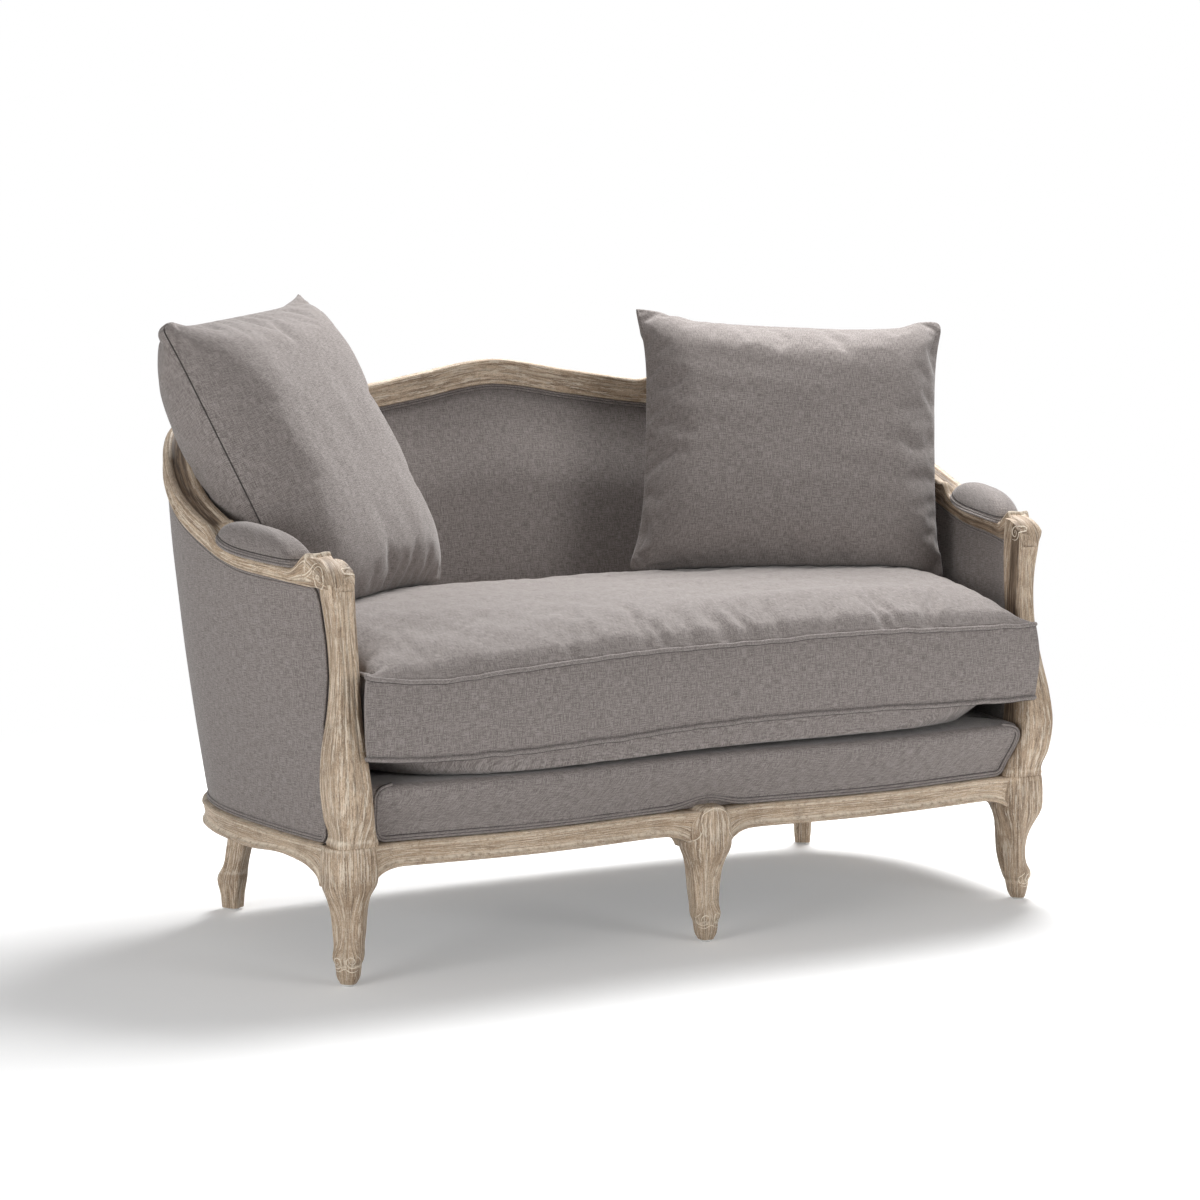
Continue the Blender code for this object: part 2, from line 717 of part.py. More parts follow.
def deck(name):
    """Sprung platform between the rails, with its upholstered front edge."""
    base = RAIL_TOP + GAP + WEB_THICKNESS + GAP
    side_stations = stations_between(1 - SQUARE_SHARE, 0.0)

    def plan(z, inset):
        places = border_places(z, inset)
        points = [Vector((x, border_face(x, z) + inset)) for x in places]
        right = [Vector((places[-1], post_back(z) + WELT_WIDTH))]
        for station in side_stations:
            right.append(wall_plan(station, wall_level(station, z), PAD_IN + DECK_SLACK + inset))
        left = [Vector((-p.x, p.y)) for p in reversed(right[:-1])]
        return points + right + left

    edge = DECK_EDGE_RADIUS
    steps = [(base, 0.0)] + [(post_z(row[0]), 0.0) for row in POST_SHARES[1:4]]
    steps.append((DECK_TOP - edge, 0.0))
    steps += [(DECK_TOP - edge + edge * math.sin(a), edge - edge * math.cos(a))
              for a in (math.pi / 6, math.pi / 3, math.pi / 2)]
    rings = [[Vector((p.x, p.y, z)) for p in plan(z, inset)] for z, inset in steps]
    return loft(name, rings, FABRIC, FABRIC_ROUGHNESS)


def arm_pad(name, side):
    """Domed pad on the arm rail."""
    start, end = PAD_START_SHARE + PAD_BLEND_SHARE / 2, PAD_END_SHARE - PAD_BLEND_SHARE / 2
    highest = TOP_BEAD * max(row[2] for row in TOP_RAIL_SHARES)
    top, bottom = [], []
    for along in spread(0, 1, ARM_PAD_COLUMNS):
        station = side * (1 - mix(start, end, along))
        taper = mix(ARM_PAD_TIP_SHARE, 1, math.sqrt(max(0.0, 1 - (2 * along - 1) ** 4)))
        seat = top_under(station) + top_height(station) + highest + GAP
        middle = (TOP_RAIL_OUT + TOP_RAIL_IN) / 2
        half = (middle - TOP_RAIL_OUT + ARM_PAD_SIDE) * taper
        top_row, bottom_row = [], []
        for spot in spread(-1, 1, ARM_PAD_ROWS):
            plan = wall_plan(station, 1, middle + half * spot)
            dome = math.sqrt(max(0.0, 1 - abs(spot) ** 2.6))
            dome *= (1 - abs(2 * along - 1) ** 3) ** 0.5
            rise = ARM_PAD_RISE * dome + WELT_WIDTH / 2
            top_row.append(Vector((plan.x, plan.y, seat + rise)))
            bottom_row.append(Vector((plan.x, plan.y, seat)))
        top.append(top_row)
        bottom.append(bottom_row)
    return shell(name, top, bottom, FABRIC, FABRIC_ROUGHNESS)


def wall_welt(name, path, near, far, closed=False):
    """Flat double welt over a panel's edge: each step is (edge place, inner place)."""
    rings = [[wall_point(*edge, near), wall_point(*inner, near),
              wall_point(*inner, far), wall_point(*edge, far)] for edge, inner in path]
    return loft(name, rings, FABRIC, FABRIC_ROUGHNESS, closed)


def level_step(station, length):
    return length / (top_under(station) - RAIL_TOP)


def front_run(side, up=True):
    """Welt corners up the back of the front post."""
    run = []
    for level in RUN_SHARES:
        z = mix(RAIL_TOP, ARM_UNDER, level)
        edge = station_behind(post_back(z) + WELT_PROUD / 2, level, side)
        inner = station_behind(post_back(z) + WELT_PROUD / 2 + WELT_WIDTH, level, side)
        run.append(((edge, level), (inner, level)))
    return run if up else run[::-1]


def corner_turn(side, level, towards):
    """Mitred corner of a welt behind the post, at the top or the bottom."""
    z = mix(RAIL_TOP, ARM_UNDER, level)
    edge = station_behind(post_back(z) + WELT_PROUD / 2, level, side)
    inner = station_behind(post_back(z) + WELT_PROUD / 2 + WELT_WIDTH, level, side)
    return ((edge, level), (inner, level + towards * level_step(side, WELT_WIDTH)))


def outside_arm_welt(name, side):
    """Welt along the bottom, front and top of the outside arm."""
    end = side * (1 - CORNER_SHARE)
    front = corner_turn(side, 0.0, 1)[0][0]
    along = stations_between(end, front)[:-1]
    path = [((s, 0.0), (s, level_step(s, WELT_WIDTH))) for s in along]
    path.append(corner_turn(side, 0.0, 1))
    path += front_run(side)
    path.append(corner_turn(side, 1.0, -1))
    path += [((s, 1.0), (s, 1 - level_step(s, WELT_WIDTH))) for s in reversed(along)]
    return wall_welt(name, path, PANEL_OUT - GAP - WELT_PROUD, PANEL_OUT - GAP)


def outside_back_welt(name):
    """Welt under the crest and along the back rail, joined at the corner seams."""
    edge = 1 - CORNER_SHARE - GAP * 2
    seam = WELT_WIDTH / TOP_REACH
    across = stations_between(-edge + seam, edge - seam)
    low = [((s, 0.0), (s, level_step(s, WELT_WIDTH))) for s in across]
    high = [((s, 1.0), (s, 1 - level_step(s, WELT_WIDTH))) for s in reversed(across)]
    inset = level_step(edge, WELT_WIDTH)

    def upright(side):
        levels = spread(0.0, 1.0, WALL_ROWS)
        inner = [inset] + levels[1:-1] + [1 - inset]
        return [((side * edge, v), (side * (edge - seam), w)) for v, w in zip(levels, inner)]

    path = low + upright(1) + high + upright(-1)[::-1]
    return wall_welt(name, path, PANEL_OUT - GAP - WELT_PROUD, PANEL_OUT - GAP, closed=True)


def inside_wall_welt(name):
    """Welt up one post, under the arm rails and the crest, and down the other post."""
    start = wall_level(1, DECK_TOP + WELT_WIDTH)
    path = [run for run in front_run(-1) if run[0][1] > start]
    path.append(corner_turn(-1, 1.0, -1))
    along = stations_between(path[-1][0][0], -path[-1][0][0])[1:-1]
    path += [((s, 1.0), (s, 1 - level_step(s, WELT_WIDTH))) for s in along]
    path.append(corner_turn(1, 1.0, -1))
    path += [run for run in front_run(1, up=False) if run[0][1] > start]
    return wall_welt(name, path, PAD_IN + GAP, PAD_IN + GAP + WELT_PROUD)


def front_border_welt(name):
    """Welt down both ends and along the foot of the deck's front edge."""
    base = RAIL_TOP + GAP + WEB_THICKNESS + GAP
    top = DECK_TOP - DECK_EDGE_RADIUS
    heights = [top, post_z(POST_SHARES[3][0]), post_z(POST_SHARES[2][0]), base]
    ends = []
    for z in heights:
        end = deck_side(z) - SOFT_GAP
        ends.append(((end, z), (end - WELT_WIDTH, max(z + GAP, base + WELT_WIDTH))))
    left = [((-x, z), (-in_x, in_z)) for (x, z), (in_x, in_z) in ends]
    foot = [((x, base), (x, base + WELT_WIDTH)) for x in border_places(base)[1:-1]]
    rings = []
    for places in left + foot + ends[::-1]:
        edge, inner = (Vector((x, border_face(x, z) - GAP, z)) for x, z in places)
        proud = Vector((0, -WELT_PROUD, 0))
        rings.append([edge, inner, inner + proud, edge + proud])
    return loft(name, rings, FABRIC, FABRIC_ROUGHNESS)


# Loose cushions

def cushion_plan():
    """Seat cushion outline, front edge first, as (point, front share)."""
    ear = CUSHION_HALF_WIDTH + CUSHION_EAR
    edge = FEET_LINE - FRONT_SETBACK - CUSHION_LIP
    front = []
    for x in spread(-ear, ear, CUSHION_PLACES):
        bow = CUSHION_BOW * math.sin(math.pi * abs(x) / LEG_X) ** 2
        front.append(Vector((x, edge - bow)))
    ear_back = front[-1].y + CUSHION_EAR_DEPTH
    right = [Vector((ear, ear_back)), Vector((CUSHION_HALF_WIDTH, ear_back + CUSHION_NOTCH))]
    first = post_back(CUSHION_BOTTOM_SEAM) + WELT_WIDTH
    right.append(Vector((CUSHION_HALF_WIDTH, first)))
    for station in stations_between(1 - SQUARE_SHARE * 2, 0.0):
        level = wall_level(station, CUSHION_BOTTOM_SEAM)
        crown = ARM_CROWN if station > 1 - CORNER_SHARE else BACK_CROWN
        right.append(wall_plan(station, level, PAD_IN + crown + SOFT_GAP))
    left = [Vector((-p.x, p.y)) for p in reversed(right[:-1])]
    return front + right + left


def seat_cushion(name):
    """Boxed cushion: crowned top, self-welted seams and a shallow lower crown."""
    border = cushion_plan()
    centre = Vector((0, sum((p.y for p in border), 0.0) / len(border)))
    rest = DECK_TOP + GAP

    def ring(scale, z, grow=0.0):
        points = []
        for p in border:
            away = p - centre
            spot = centre + away * scale + away.normalized() * grow
            points.append(Vector((spot.x, spot.y, z)))
        return points

    def seam_rings(seam):
        welt = CUSHION_SELF_WELT
        return [ring(1, seam - welt, -welt), ring(1, seam), ring(1, seam + welt, -welt)]

    rings = [ring(size, mix(rest, CUSHION_BOTTOM_SEAM, rise))
             for size, rise in CUSHION_LOWER_SHARES]
    rings += seam_rings(CUSHION_BOTTOM_SEAM)
    rings.append(ring(1, (CUSHION_BOTTOM_SEAM + CUSHION_TOP_SEAM) / 2))
    rings += seam_rings(CUSHION_TOP_SEAM)
    for share in CUSHION_UPPER_SHARES:
        dome = (1 - share ** 3) ** CUSHION_DOME_SHARE
        rings.append(ring(share, CUSHION_TOP_SEAM + CUSHION_CROWN * dome))
    return loft(name, rings, FABRIC, FABRIC_ROUGHNESS)


def pillow(name, middle, across, up, width, height):
    """Square pillow: crowned faces, sides drawn in between pointed corners."""
    face = across.cross(up).normalized()
    places = [math.sin(math.pi / 2 * place) for place in spread(-1, 1, PILLOW_POINTS)]
    front, back = [], []
    for a in places:
        front_row, back_row = [], []
        for b in places:
            x = a * (width / 2 - PILLOW_DRAW * (1 - b * b))
            y = b * (height / 2 - PILLOW_DRAW * (1 - a * a))
            swell = ((1 - a ** 4) * (1 - b ** 4)) ** PILLOW_SWELL_SHARE
            spot = middle + across * x + up * y
            front_row.append(spot + face * swell * PILLOW_THICKNESS / 2)
            back_row.append(spot - face * swell * PILLOW_THICKNESS / 2)
        front.append(front_row)
        back.append(back_row)
    return pillow_shell(name, front, back)


def pillow_shell(name, front, back):
    """Join two faces that share their rim."""
    last = len(front) - 1

    def build(bm):
        rim = {}

        def vertex(i, j, point):
            if i in (0, last) or j in (0, last):
                if (i, j) not in rim:
                    rim[(i, j)] = bm.verts.new(point)
                return rim[(i, j)]
            return bm.verts.new(point)

        for grid in (front, back):
            sheet = [[vertex(i, j, grid[i][j]) for j in range(last + 1)]
                     for i in range(last + 1)]
            for i in range(last):
                for j in range(last):
                    bm.faces.new((sheet[i][j], sheet[i + 1][j],
                                  sheet[i + 1][j + 1], sheet[i][j + 1]))
    return make_object(name, build, FABRIC, FABRIC_ROUGHNESS)


def place_pillow(name, shares, angles):
    """Lean a pillow in a corner: its middle as shares, then its width and height shares."""
    side_share, back_share, rise_share, width_share, height_share = shares
    middle = Vector((TOP_HALF_WIDTH * side_share, FEET_LINE + TOP_REACH * back_share,
                     CREST_UNDER * rise_share))
    turn, lean, roll = (math.radians(angle) for angle in angles)
    across = Vector((math.cos(turn), math.sin(turn), 0))
    away = Vector((-math.sin(turn), math.cos(turn), 0))
    up = away * math.sin(lean) + Vector((0, 0, 1)) * math.cos(lean)
    rolled = across * math.cos(roll) + up * math.sin(roll)
    risen = up * math.cos(roll) - across * math.sin(roll)
    return pillow(name, middle, rolled, risen, PILLOW_SIZE * width_share,
                  PILLOW_SIZE * height_share)


def dust_cover(name):
    """Thin lining stapled under the rails, cut back at the front brackets."""
    low = RAIL_BOTTOM - LINING_THICKNESS - GAP
    stations = stations_between(1 - TRUE_SHARE, TRUE_SHARE - 1)
    points = [wall_plan(s, 0, RAIL_DEPTH - LINING_LAP) for s in stations]
    front_x = LEG_X - LEG_BLOCK_IN - BRACKET_REACH
    for x in spread(-front_x, front_x, BORDER_PLACES):
        points.append(Vector((x, front_face(x) + FRONT_RAIL_DEPTH + GAP)))
    rings = [[Vector((p.x, p.y, z)) for p in points] for z in (low, low + LINING_THICKNESS)]
    return loft(name, rings, LINING, FABRIC_ROUGHNESS)


def build_show_wood():
    corner = LEG_BLOCK_BACK + GAP + FEET_LINE
    for word, side in (("left", -1), ("right", 1)):
        front_rail(f"front_{word}_rail", side)
        first = station_behind(corner, 0, side)
        bracket_end = station_behind(corner + BRACKET_REACH, 0, side)
        stations = [mix(first, bracket_end, share) for share in BRACKET_SHARES[:-1]]
        stations += stations_between(bracket_end, side * (1 - CORNER_SHARE + GAP))
        wall_rail(f"{word}_side_rail", stations, corner)
        arm_start = station_behind(FEET_LINE + POST_SIZE * POST_SHARES[-1][4] + GAP, 1, side)
        scoop_ends = [side * (1 - share - PAD_BLEND_SHARE * part) for part in (-0.5, 0, 0.5)
                      for share in (PAD_START_SHARE, PAD_END_SHARE)]
        arm = stations_between(arm_start, side * (1 - CREST_SHARE + GAP))
        top_rail(f"{word}_arm_rail", sorted(arm + scoop_ends, key=abs))
        post(f"{word}_arm_post", side)
        out = Vector((side, -1)).normalized()
        inner, outer = LEG_BLOCK_IN, LEG_BLOCK_OUT
        front, back = LEG_BLOCK_FRONT, LEG_BLOCK_BACK
        reaches = (front, back, outer, inner) if side > 0 else (front, back, inner, outer)
        leg(f"front_{word}_leg", Vector((side * LEG_X, FEET_LINE)), out,
            side * math.pi / 4, reaches)
        back_leg(f"back_{word}_leg", side)
        stile(f"{word}_back_stile", side)
    leg("front_centre_leg", Vector((0, FEET_LINE + CENTRE_LEG_Y)), Vector((0, -1)), 0,
        (LEG_BLOCK_OUT, LEG_BLOCK_BACK, CENTRE_BLOCK, CENTRE_BLOCK))
    edge = 1 - CORNER_SHARE
    wall_rail("back_rail", stations_between(-edge, edge))
    top_rail("crest_rail", stations_between(CREST_SHARE - 1, 1 - CREST_SHARE))


def build_hidden():
    for index, x in enumerate(spread(-WEB_REACH, WEB_REACH, SEAT_WEBS)):
        seat_web(f"seat_web_{index + 1}", x)
    for index, station in enumerate(spread(-BACK_WEB_SHARE, BACK_WEB_SHARE, BACK_WEBS)):
        back_web(f"back_web_{index + 1}", station)
    dust_cover("dust_cover")
    for word, side in (("left", -1), ("right", 1)):
        foot_glide(f"front_{word}_glide", Vector((side * LEG_X, FEET_LINE)))
        foot = back_leg_top(side) + back_leg_way(side) * BACK_LEG_SPLAY
        foot_glide(f"back_{word}_glide", foot)
    foot_glide("front_centre_glide", Vector((0, FEET_LINE + CENTRE_LEG_Y)))


def build_upholstery():
    for word, side in (("left", -1), ("right", 1)):
        outside_arm_panel(f"{word}_outside_arm", side)
        outside_arm_welt(f"{word}_outside_arm_welt", side)
        edge = wall_level(side * (1 - SQUARE_SHARE), DECK_TOP)
        levels = [0.0, edge] + spread(edge, 1.0, WALL_ROWS)[1:-1]
        levels += [1 - level_step(side, WELT_STRIP), 1.0]
        wall_pad(f"{word}_inside_arm", arm_columns(side, [WELT_PROUD, WELT_PROUD + WELT_STRIP]),
                 levels, ARM_CROWN)
        arm_pad(f"{word}_arm_pad", side)
    edge = 1 - CORNER_SHARE - GAP * 2
    low = wall_level(0, DECK_TOP)
    levels = [0.0, low] + spread(low, 1.0, WALL_ROWS)[1:-1]
    levels += [1 - level_step(1 - CORNER_SHARE, WELT_STRIP), 1.0]
    back = [fixed(station) for station in stations_between(-edge, edge)]
    wall_pad("inside_back", back, levels, BACK_CROWN)
    outside_back_panel("outside_back")
    outside_back_welt("outside_back_welt")
    inside_wall_welt("inside_wall_welt")
    deck("seat_deck")
    front_border_welt("front_border_welt")
    seat_cushion("seat_cushion")
    place_pillow("right_pillow", RIGHT_PILLOW_SHARES, RIGHT_PILLOW_ANGLES)
    place_pillow("left_pillow", LEFT_PILLOW_SHARES, LEFT_PILLOW_ANGLES)


clear_scene()
build_show_wood()
build_hidden()
build_upholstery()
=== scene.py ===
import json
import math

import bmesh
import bpy
import numpy as np
from mathutils import Matrix, Vector
from mathutils.bvhtree import BVHTree

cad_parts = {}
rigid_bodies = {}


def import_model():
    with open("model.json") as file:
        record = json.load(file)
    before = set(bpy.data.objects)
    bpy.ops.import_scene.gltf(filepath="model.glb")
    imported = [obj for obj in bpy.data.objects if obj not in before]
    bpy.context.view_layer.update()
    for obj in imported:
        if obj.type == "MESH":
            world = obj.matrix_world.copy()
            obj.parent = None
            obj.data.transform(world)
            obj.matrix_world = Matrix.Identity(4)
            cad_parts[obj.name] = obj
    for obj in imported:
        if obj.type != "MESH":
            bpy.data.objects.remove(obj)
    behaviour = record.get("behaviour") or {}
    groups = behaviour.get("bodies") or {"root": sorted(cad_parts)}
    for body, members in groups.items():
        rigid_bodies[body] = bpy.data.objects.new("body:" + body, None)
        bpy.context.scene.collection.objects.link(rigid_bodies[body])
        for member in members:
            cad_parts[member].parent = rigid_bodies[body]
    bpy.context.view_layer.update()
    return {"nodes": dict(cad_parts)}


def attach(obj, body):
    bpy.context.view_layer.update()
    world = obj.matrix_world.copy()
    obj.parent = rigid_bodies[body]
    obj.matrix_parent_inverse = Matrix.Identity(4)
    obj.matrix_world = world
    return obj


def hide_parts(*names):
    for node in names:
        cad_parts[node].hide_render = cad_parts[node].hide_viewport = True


for item in list(bpy.data.objects):
    bpy.data.objects.remove(item, do_unlink=True)
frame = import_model()
print("frame loaded:", len(frame["nodes"]), "nodes")

# The settee's own sizes in metres, as its solids have them
sizes = {
    "gap": 0.0003,
    "feetLine": -0.3935, "legX": 0.675,
    "seatHalfWidth": 0.733, "seatReach": 0.670, "topHalfWidth": 0.776, "topReach": 0.838,
    "railBottom": 0.192, "railTop": 0.2335, "deckTop": 0.3335,
    "armUnder": 0.652, "crestUnder": 0.930, "postTop": 0.7015,
    "bulge": 0.007,
    "panelOut": 0.003, "padIn": 0.044,
    "weltWidth": 0.0085, "weltProud": 0.0045,
}
# From the front post round to the middle of the back: top x, top y, seat x, seat y, rise
wallRows = (
    (0.906, 0.000, 0.948, 0.000, 0.000), (0.952, 0.131, 0.973, 0.164, 0.040),
    (0.987, 0.286, 0.992, 0.351, 0.083), (1.002, 0.418, 1.000, 0.507, 0.190),
    (1.004, 0.545, 0.993, 0.644, 0.335), (0.974, 0.674, 0.962, 0.779, 0.530),
    (0.908, 0.790, 0.890, 0.897, 0.690), (0.782, 0.884, 0.766, 0.960, 0.790),
    (0.581, 0.937, 0.587, 0.985, 0.820), (0.432, 0.964, 0.437, 0.994, 0.835),
    (0.219, 0.990, 0.225, 1.000, 0.915), (0.000, 1.000, 0.000, 1.000, 1.000),
)
lastRow = len(wallRows) - 1
wallTable = np.array(wallRows)
wallTable = np.vstack([2 * wallTable[0] - wallTable[1], wallTable,
                       wallTable[-2] * (-1, 1, -1, 1, 1)])
facets = 24
shares = {
    "corner": 7 / lastRow, "crest": 9 / lastRow, "square": 2 / facets, "true": 5 / facets,
    "padStart": 0.056, "padEnd": 0.242, "padBlend": 0.035,
}


# Small tools

def mix(low, high, share):
    return low + (high - low) * share


def smooth(share):
    share = np.clip(share, 0, 1)
    return share * share * (3 - 2 * share)


def bump(distance, reach):                    # 1 at zero distance, 0 from the reach on
    return smooth(1 - np.abs(distance) / reach)


def unit(vectors):
    return vectors / np.maximum(np.linalg.norm(vectors, axis=-1, keepdims=True), 1e-12)


def readCurve(rows, at, column):              # smooth reading of a table whose first column rises
    table = np.array(rows, float)
    places, values = table[:, 0], table[:, column]
    slopes = np.gradient(values, places)
    at = np.clip(at, places[0], places[-1])
    low = np.clip(np.searchsorted(places, at, side="right") - 1, 0, len(places) - 2)
    width = places[low + 1] - places[low]
    t = (at - places[low]) / width
    return (values[low] * (1 + 2 * t) * (1 - t) ** 2 + slopes[low] * width * t * (1 - t) ** 2
            + values[low + 1] * t * t * (3 - 2 * t) + slopes[low + 1] * width * t * t * (t - 1))


def dense(rows, steps):                       # rows of numbers, smoothed into more rows
    rows = np.array(rows, float)
    places = np.linspace(0, len(rows) - 1, (len(rows) - 1) * steps + 1)
    numbered = np.column_stack([np.arange(len(rows)), rows])
    return np.stack([readCurve(numbered, places, column + 1) for column in range(rows.shape[1])],
                    axis=1)


def ripple(x, y, seed, longest, count=7):     # mixed soft waves, about -1 to 1
    dice = np.random.default_rng(seed)
    total = 0
    for _ in range(count):
        turn, phase = dice.uniform(0, 2 * math.pi, 2)
        length = longest * dice.uniform(0.35, 1)
        total = total + np.sin(2 * math.pi / length * (x * math.cos(turn) + y * math.sin(turn))
                               + phase)
    return total / count * 1.6


# The wall that wraps the seat: station -1 at the left post, 0 mid back, 1 at the right post

def readWall(share, column):
    place = np.clip(share, 0, 1) * lastRow
    row = np.minimum(place.astype(int), lastRow - 1)
    t = place - row
    before, start, end, after = (wallTable[row + step, column] for step in range(4))
    return start + 0.5 * t * (end - before + t * (
        2 * before - 5 * start + 4 * end - after + t * (3 * (start - end) + after - before)))


def outline(share, level):
    x = mix(sizes["seatHalfWidth"] * readWall(share, 2),
            sizes["topHalfWidth"] * readWall(share, 0), level)
    y = mix(sizes["seatReach"] * readWall(share, 3), sizes["topReach"] * readWall(share, 1), level)
    return x, y + sizes["feetLine"]


def wallPlan(station, level, depth):          # a point in plan, a depth inside the outer face
    station, level, depth = (part.astype(float) for part in
                             np.broadcast_arrays(station, level, depth))
    share = 1 - np.abs(station)
    step = 1 / (8 * facets)
    firstX, firstY = outline(np.maximum(share - step, 0), level)
    nextX, nextY = outline(np.minimum(share + step, 1), level)
    length = np.hypot(nextX - firstX, nextY - firstY)
    true = smooth((share - shares["square"]) / (shares["true"] - shares["square"]))
    inX = mix(-1, -(nextY - firstY) / length, true)
    inY = mix(0, (nextX - firstX) / length, true)
    inX, inY = np.where(share > 1 - 1e-9, 0, inX), np.where(share > 1 - 1e-9, -1, inY)
    length = np.hypot(inX, inY)
    full = sizes["bulge"] * 4 * level * (1 - level) * np.sin(math.pi * share) ** 2
    x, y = outline(share, level)
    x, y = x + inX / length * (depth - full), y + inY / length * (depth - full)
    return np.stack([np.where(station < 0, -x, x), y], axis=-1)


def topUnder(station):                        # underside of the top rail
    rise = readWall(1 - np.abs(station), 4)
    return mix(sizes["armUnder"], sizes["crestUnder"], rise)


def wallPoint(station, level, depth):         # level 0 at the seat rail, 1 at the top rail
    plan = wallPlan(station, level, depth)
    z = mix(sizes["railTop"] + sizes["gap"], topUnder(station) - sizes["gap"], level)
    return np.concatenate([plan, np.broadcast_to(z, plan.shape[:-1])[..., None]], axis=-1)


def wallInward(station, level):
    way = wallPlan(station, level, 0.01) - wallPlan(station, level, 0.0)
    return unit(np.concatenate([way, np.zeros(way.shape[:-1] + (1,))], axis=-1))


def wallLevel(station, z):
    base = sizes["railTop"] + sizes["gap"]
    return (z - base) / (topUnder(station) - base)


def stationBehind(y, level, side):            # near a post, where the outer face has this y
    low = np.zeros(np.broadcast(y, level).shape)
    high = np.full(low.shape, shares["square"])
    for _ in range(30):
        middle = (low + high) / 2
        short = wallPlan(1 - middle, level, 0)[..., 1] < y
        low, high = np.where(short, middle, low), np.where(short, high, middle)
    return side * (1 - high)


# Meshes

def clothGrid(points):                        # metres across and along from the middle
    across = np.cumsum(np.linalg.norm(np.diff(points, axis=1), axis=2), axis=1)
    across = np.concatenate([np.zeros((len(points), 1)), across], axis=1)
    across -= across[:, across.shape[1] // 2][:, None]
    along = np.cumsum(np.linalg.norm(np.diff(points, axis=0), axis=2), axis=0)
    along = np.concatenate([np.zeros((1, points.shape[1])), along], axis=0)
    return np.stack([across, along], axis=2)


def newPiece(name, bm, material, sharp=None):
    mesh = bpy.data.meshes.new(name)
    bm.to_mesh(mesh)
    bm.free()
    mesh.shade_smooth()
    if sharp:
        mesh.set_sharp_from_angle(angle=math.radians(sharp))
    mesh.materials.append(material)
    piece = bpy.data.objects.new(name, mesh)
    bpy.context.scene.collection.objects.link(piece)
    return piece


def patch(name, across, along, place, material, closed=False, capped=False, flip=False,
          bias=False, sharp=None):            # place gives points, or points and their lime
    bm = bmesh.new()
    bmesh.ops.create_grid(bm, x_segments=across, y_segments=along, size=0.5)
    flat = np.array([vert.co for vert in bm.verts])
    u, v = flat[:, 0] + 0.5, flat[:, 1] + 0.5
    made = place(u, v)
    points, lime = made if isinstance(made, tuple) else (made, np.zeros(len(u)))
    grid = np.lexsort((np.round(u, 6), np.round(v, 6))).reshape(-1, across + 1)
    cloth = np.empty((len(u), 2))
    cloth[grid] = clothGrid(points[grid])
    if material.name.startswith("limedOak"):  # the grain flows along the piece
        cloth[:, 0] = (u - 0.5) * np.ptp(cloth[grid][:, :, 0], axis=1).mean()
    if bias:                                  # welts are cut across the weave
        cloth = np.stack([cloth[:, 0] + cloth[:, 1], cloth[:, 1] - cloth[:, 0]], axis=1) / 2 ** 0.5
    uvLayer = bm.loops.layers.uv.new("cloth")
    limeLayer = bm.verts.layers.float.new("lime")
    for face in bm.faces:
        for loop in face.loops:
            loop[uvLayer].uv = cloth[loop.vert.index]
    for vert, point, amount in zip(bm.verts, points, lime):
        vert.co = point
        vert[limeLayer] = amount
    if closed:
        rim = [vert for vert in bm.verts if vert.is_boundary]
        bmesh.ops.remove_doubles(bm, verts=rim, dist=1e-6)
    if capped:
        edges = [edge for edge in bm.edges if edge.is_boundary]
        bmesh.ops.holes_fill(bm, edges=edges, sides=0)
    if closed and capped:
        bmesh.ops.recalc_face_normals(bm, faces=bm.faces)
    elif flip:
        bmesh.ops.reverse_faces(bm, faces=bm.faces)
    return newPiece(name, bm, material, sharp)


def joined(name, pieces):                     # several pieces made one
    bm = bmesh.new()
    for piece in pieces:
        bm.from_mesh(piece.data)
    material = pieces[0].data.materials[0]
    for piece in pieces:
        bpy.data.objects.remove(piece, do_unlink=True)
    return newPiece(name, bm, material)


def fit(piece, body, nodes=()):
    if nodes:
        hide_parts(*nodes)
    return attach(piece, body)


def wooden(name, around, along, place, sharp):   # a closed piece of show wood
    piece = patch(name, around, along, place, oak, closed=True, capped=True, sharp=sharp)
    return fit(piece, "frame", [name])


def sectionRow(section, u):                   # which row of a section each share belongs to
    return section[np.rint(u * (len(section) - 1)).astype(int)].T


def surfaceTree(name):                        # a piece's surface, for finding the nearest point
    bm = bmesh.new()
    bm.from_mesh(dressed(name).data)
    tree = BVHTree.FromBMesh(bm)
    bm.free()
    return tree


def dressed(name):                            # the scene's own piece, not the solid it replaces
    return bpy.data.objects[name + ".001" if name + ".001" in bpy.data.objects else name]


def gridPair(columns, rows):                  # two square grids, one over the other, and a rim
    bm = bmesh.new()
    bmesh.ops.create_grid(bm, x_segments=columns, y_segments=rows, size=1.0)
    top = bmesh.ops.extrude_face_region(bm, geom=bm.faces[:], use_keep_orig=True)["geom"]
    bmesh.ops.translate(bm, verts=[g for g in top if isinstance(g, bmesh.types.BMVert)],
                        vec=(0, 0, 1))
    return bm


def crowded(part, share):                     # moves the lines of a grid towards its edges
    return np.clip(mix(part, np.sin(part * math.pi / 2), share), -1, 1)


def finishWith(piece, kind, **settings):
    modifier = piece.modifiers.new(kind.title(), kind)
    for key, value in settings.items():
        setattr(modifier, key, value)
    return piece


def evenPath(points, step):
    points = np.asarray(points, float)
    run = np.concatenate([[0], np.cumsum(np.linalg.norm(np.diff(points[:, :3], axis=0), axis=1))])
    at = np.linspace(0, run[-1], max(int(run[-1] / step), 2) + 1)
    return np.stack([np.interp(at, run, points[:, k]) for k in range(points.shape[1])], axis=1)


def softPath(points, reach):                  # rounds the corners of an even path
    before = 2 * points[:1] - points[reach:0:-1]
    after = 2 * points[-1:] - points[-2:-reach - 2:-1]
    padded = np.concatenate([before, points, after])
    kernel = np.ones(2 * reach + 1) / (2 * reach + 1)
    return np.stack([np.convolve(padded[:, k], kernel, "valid") for k in range(points.shape[1])],
                    axis=1)


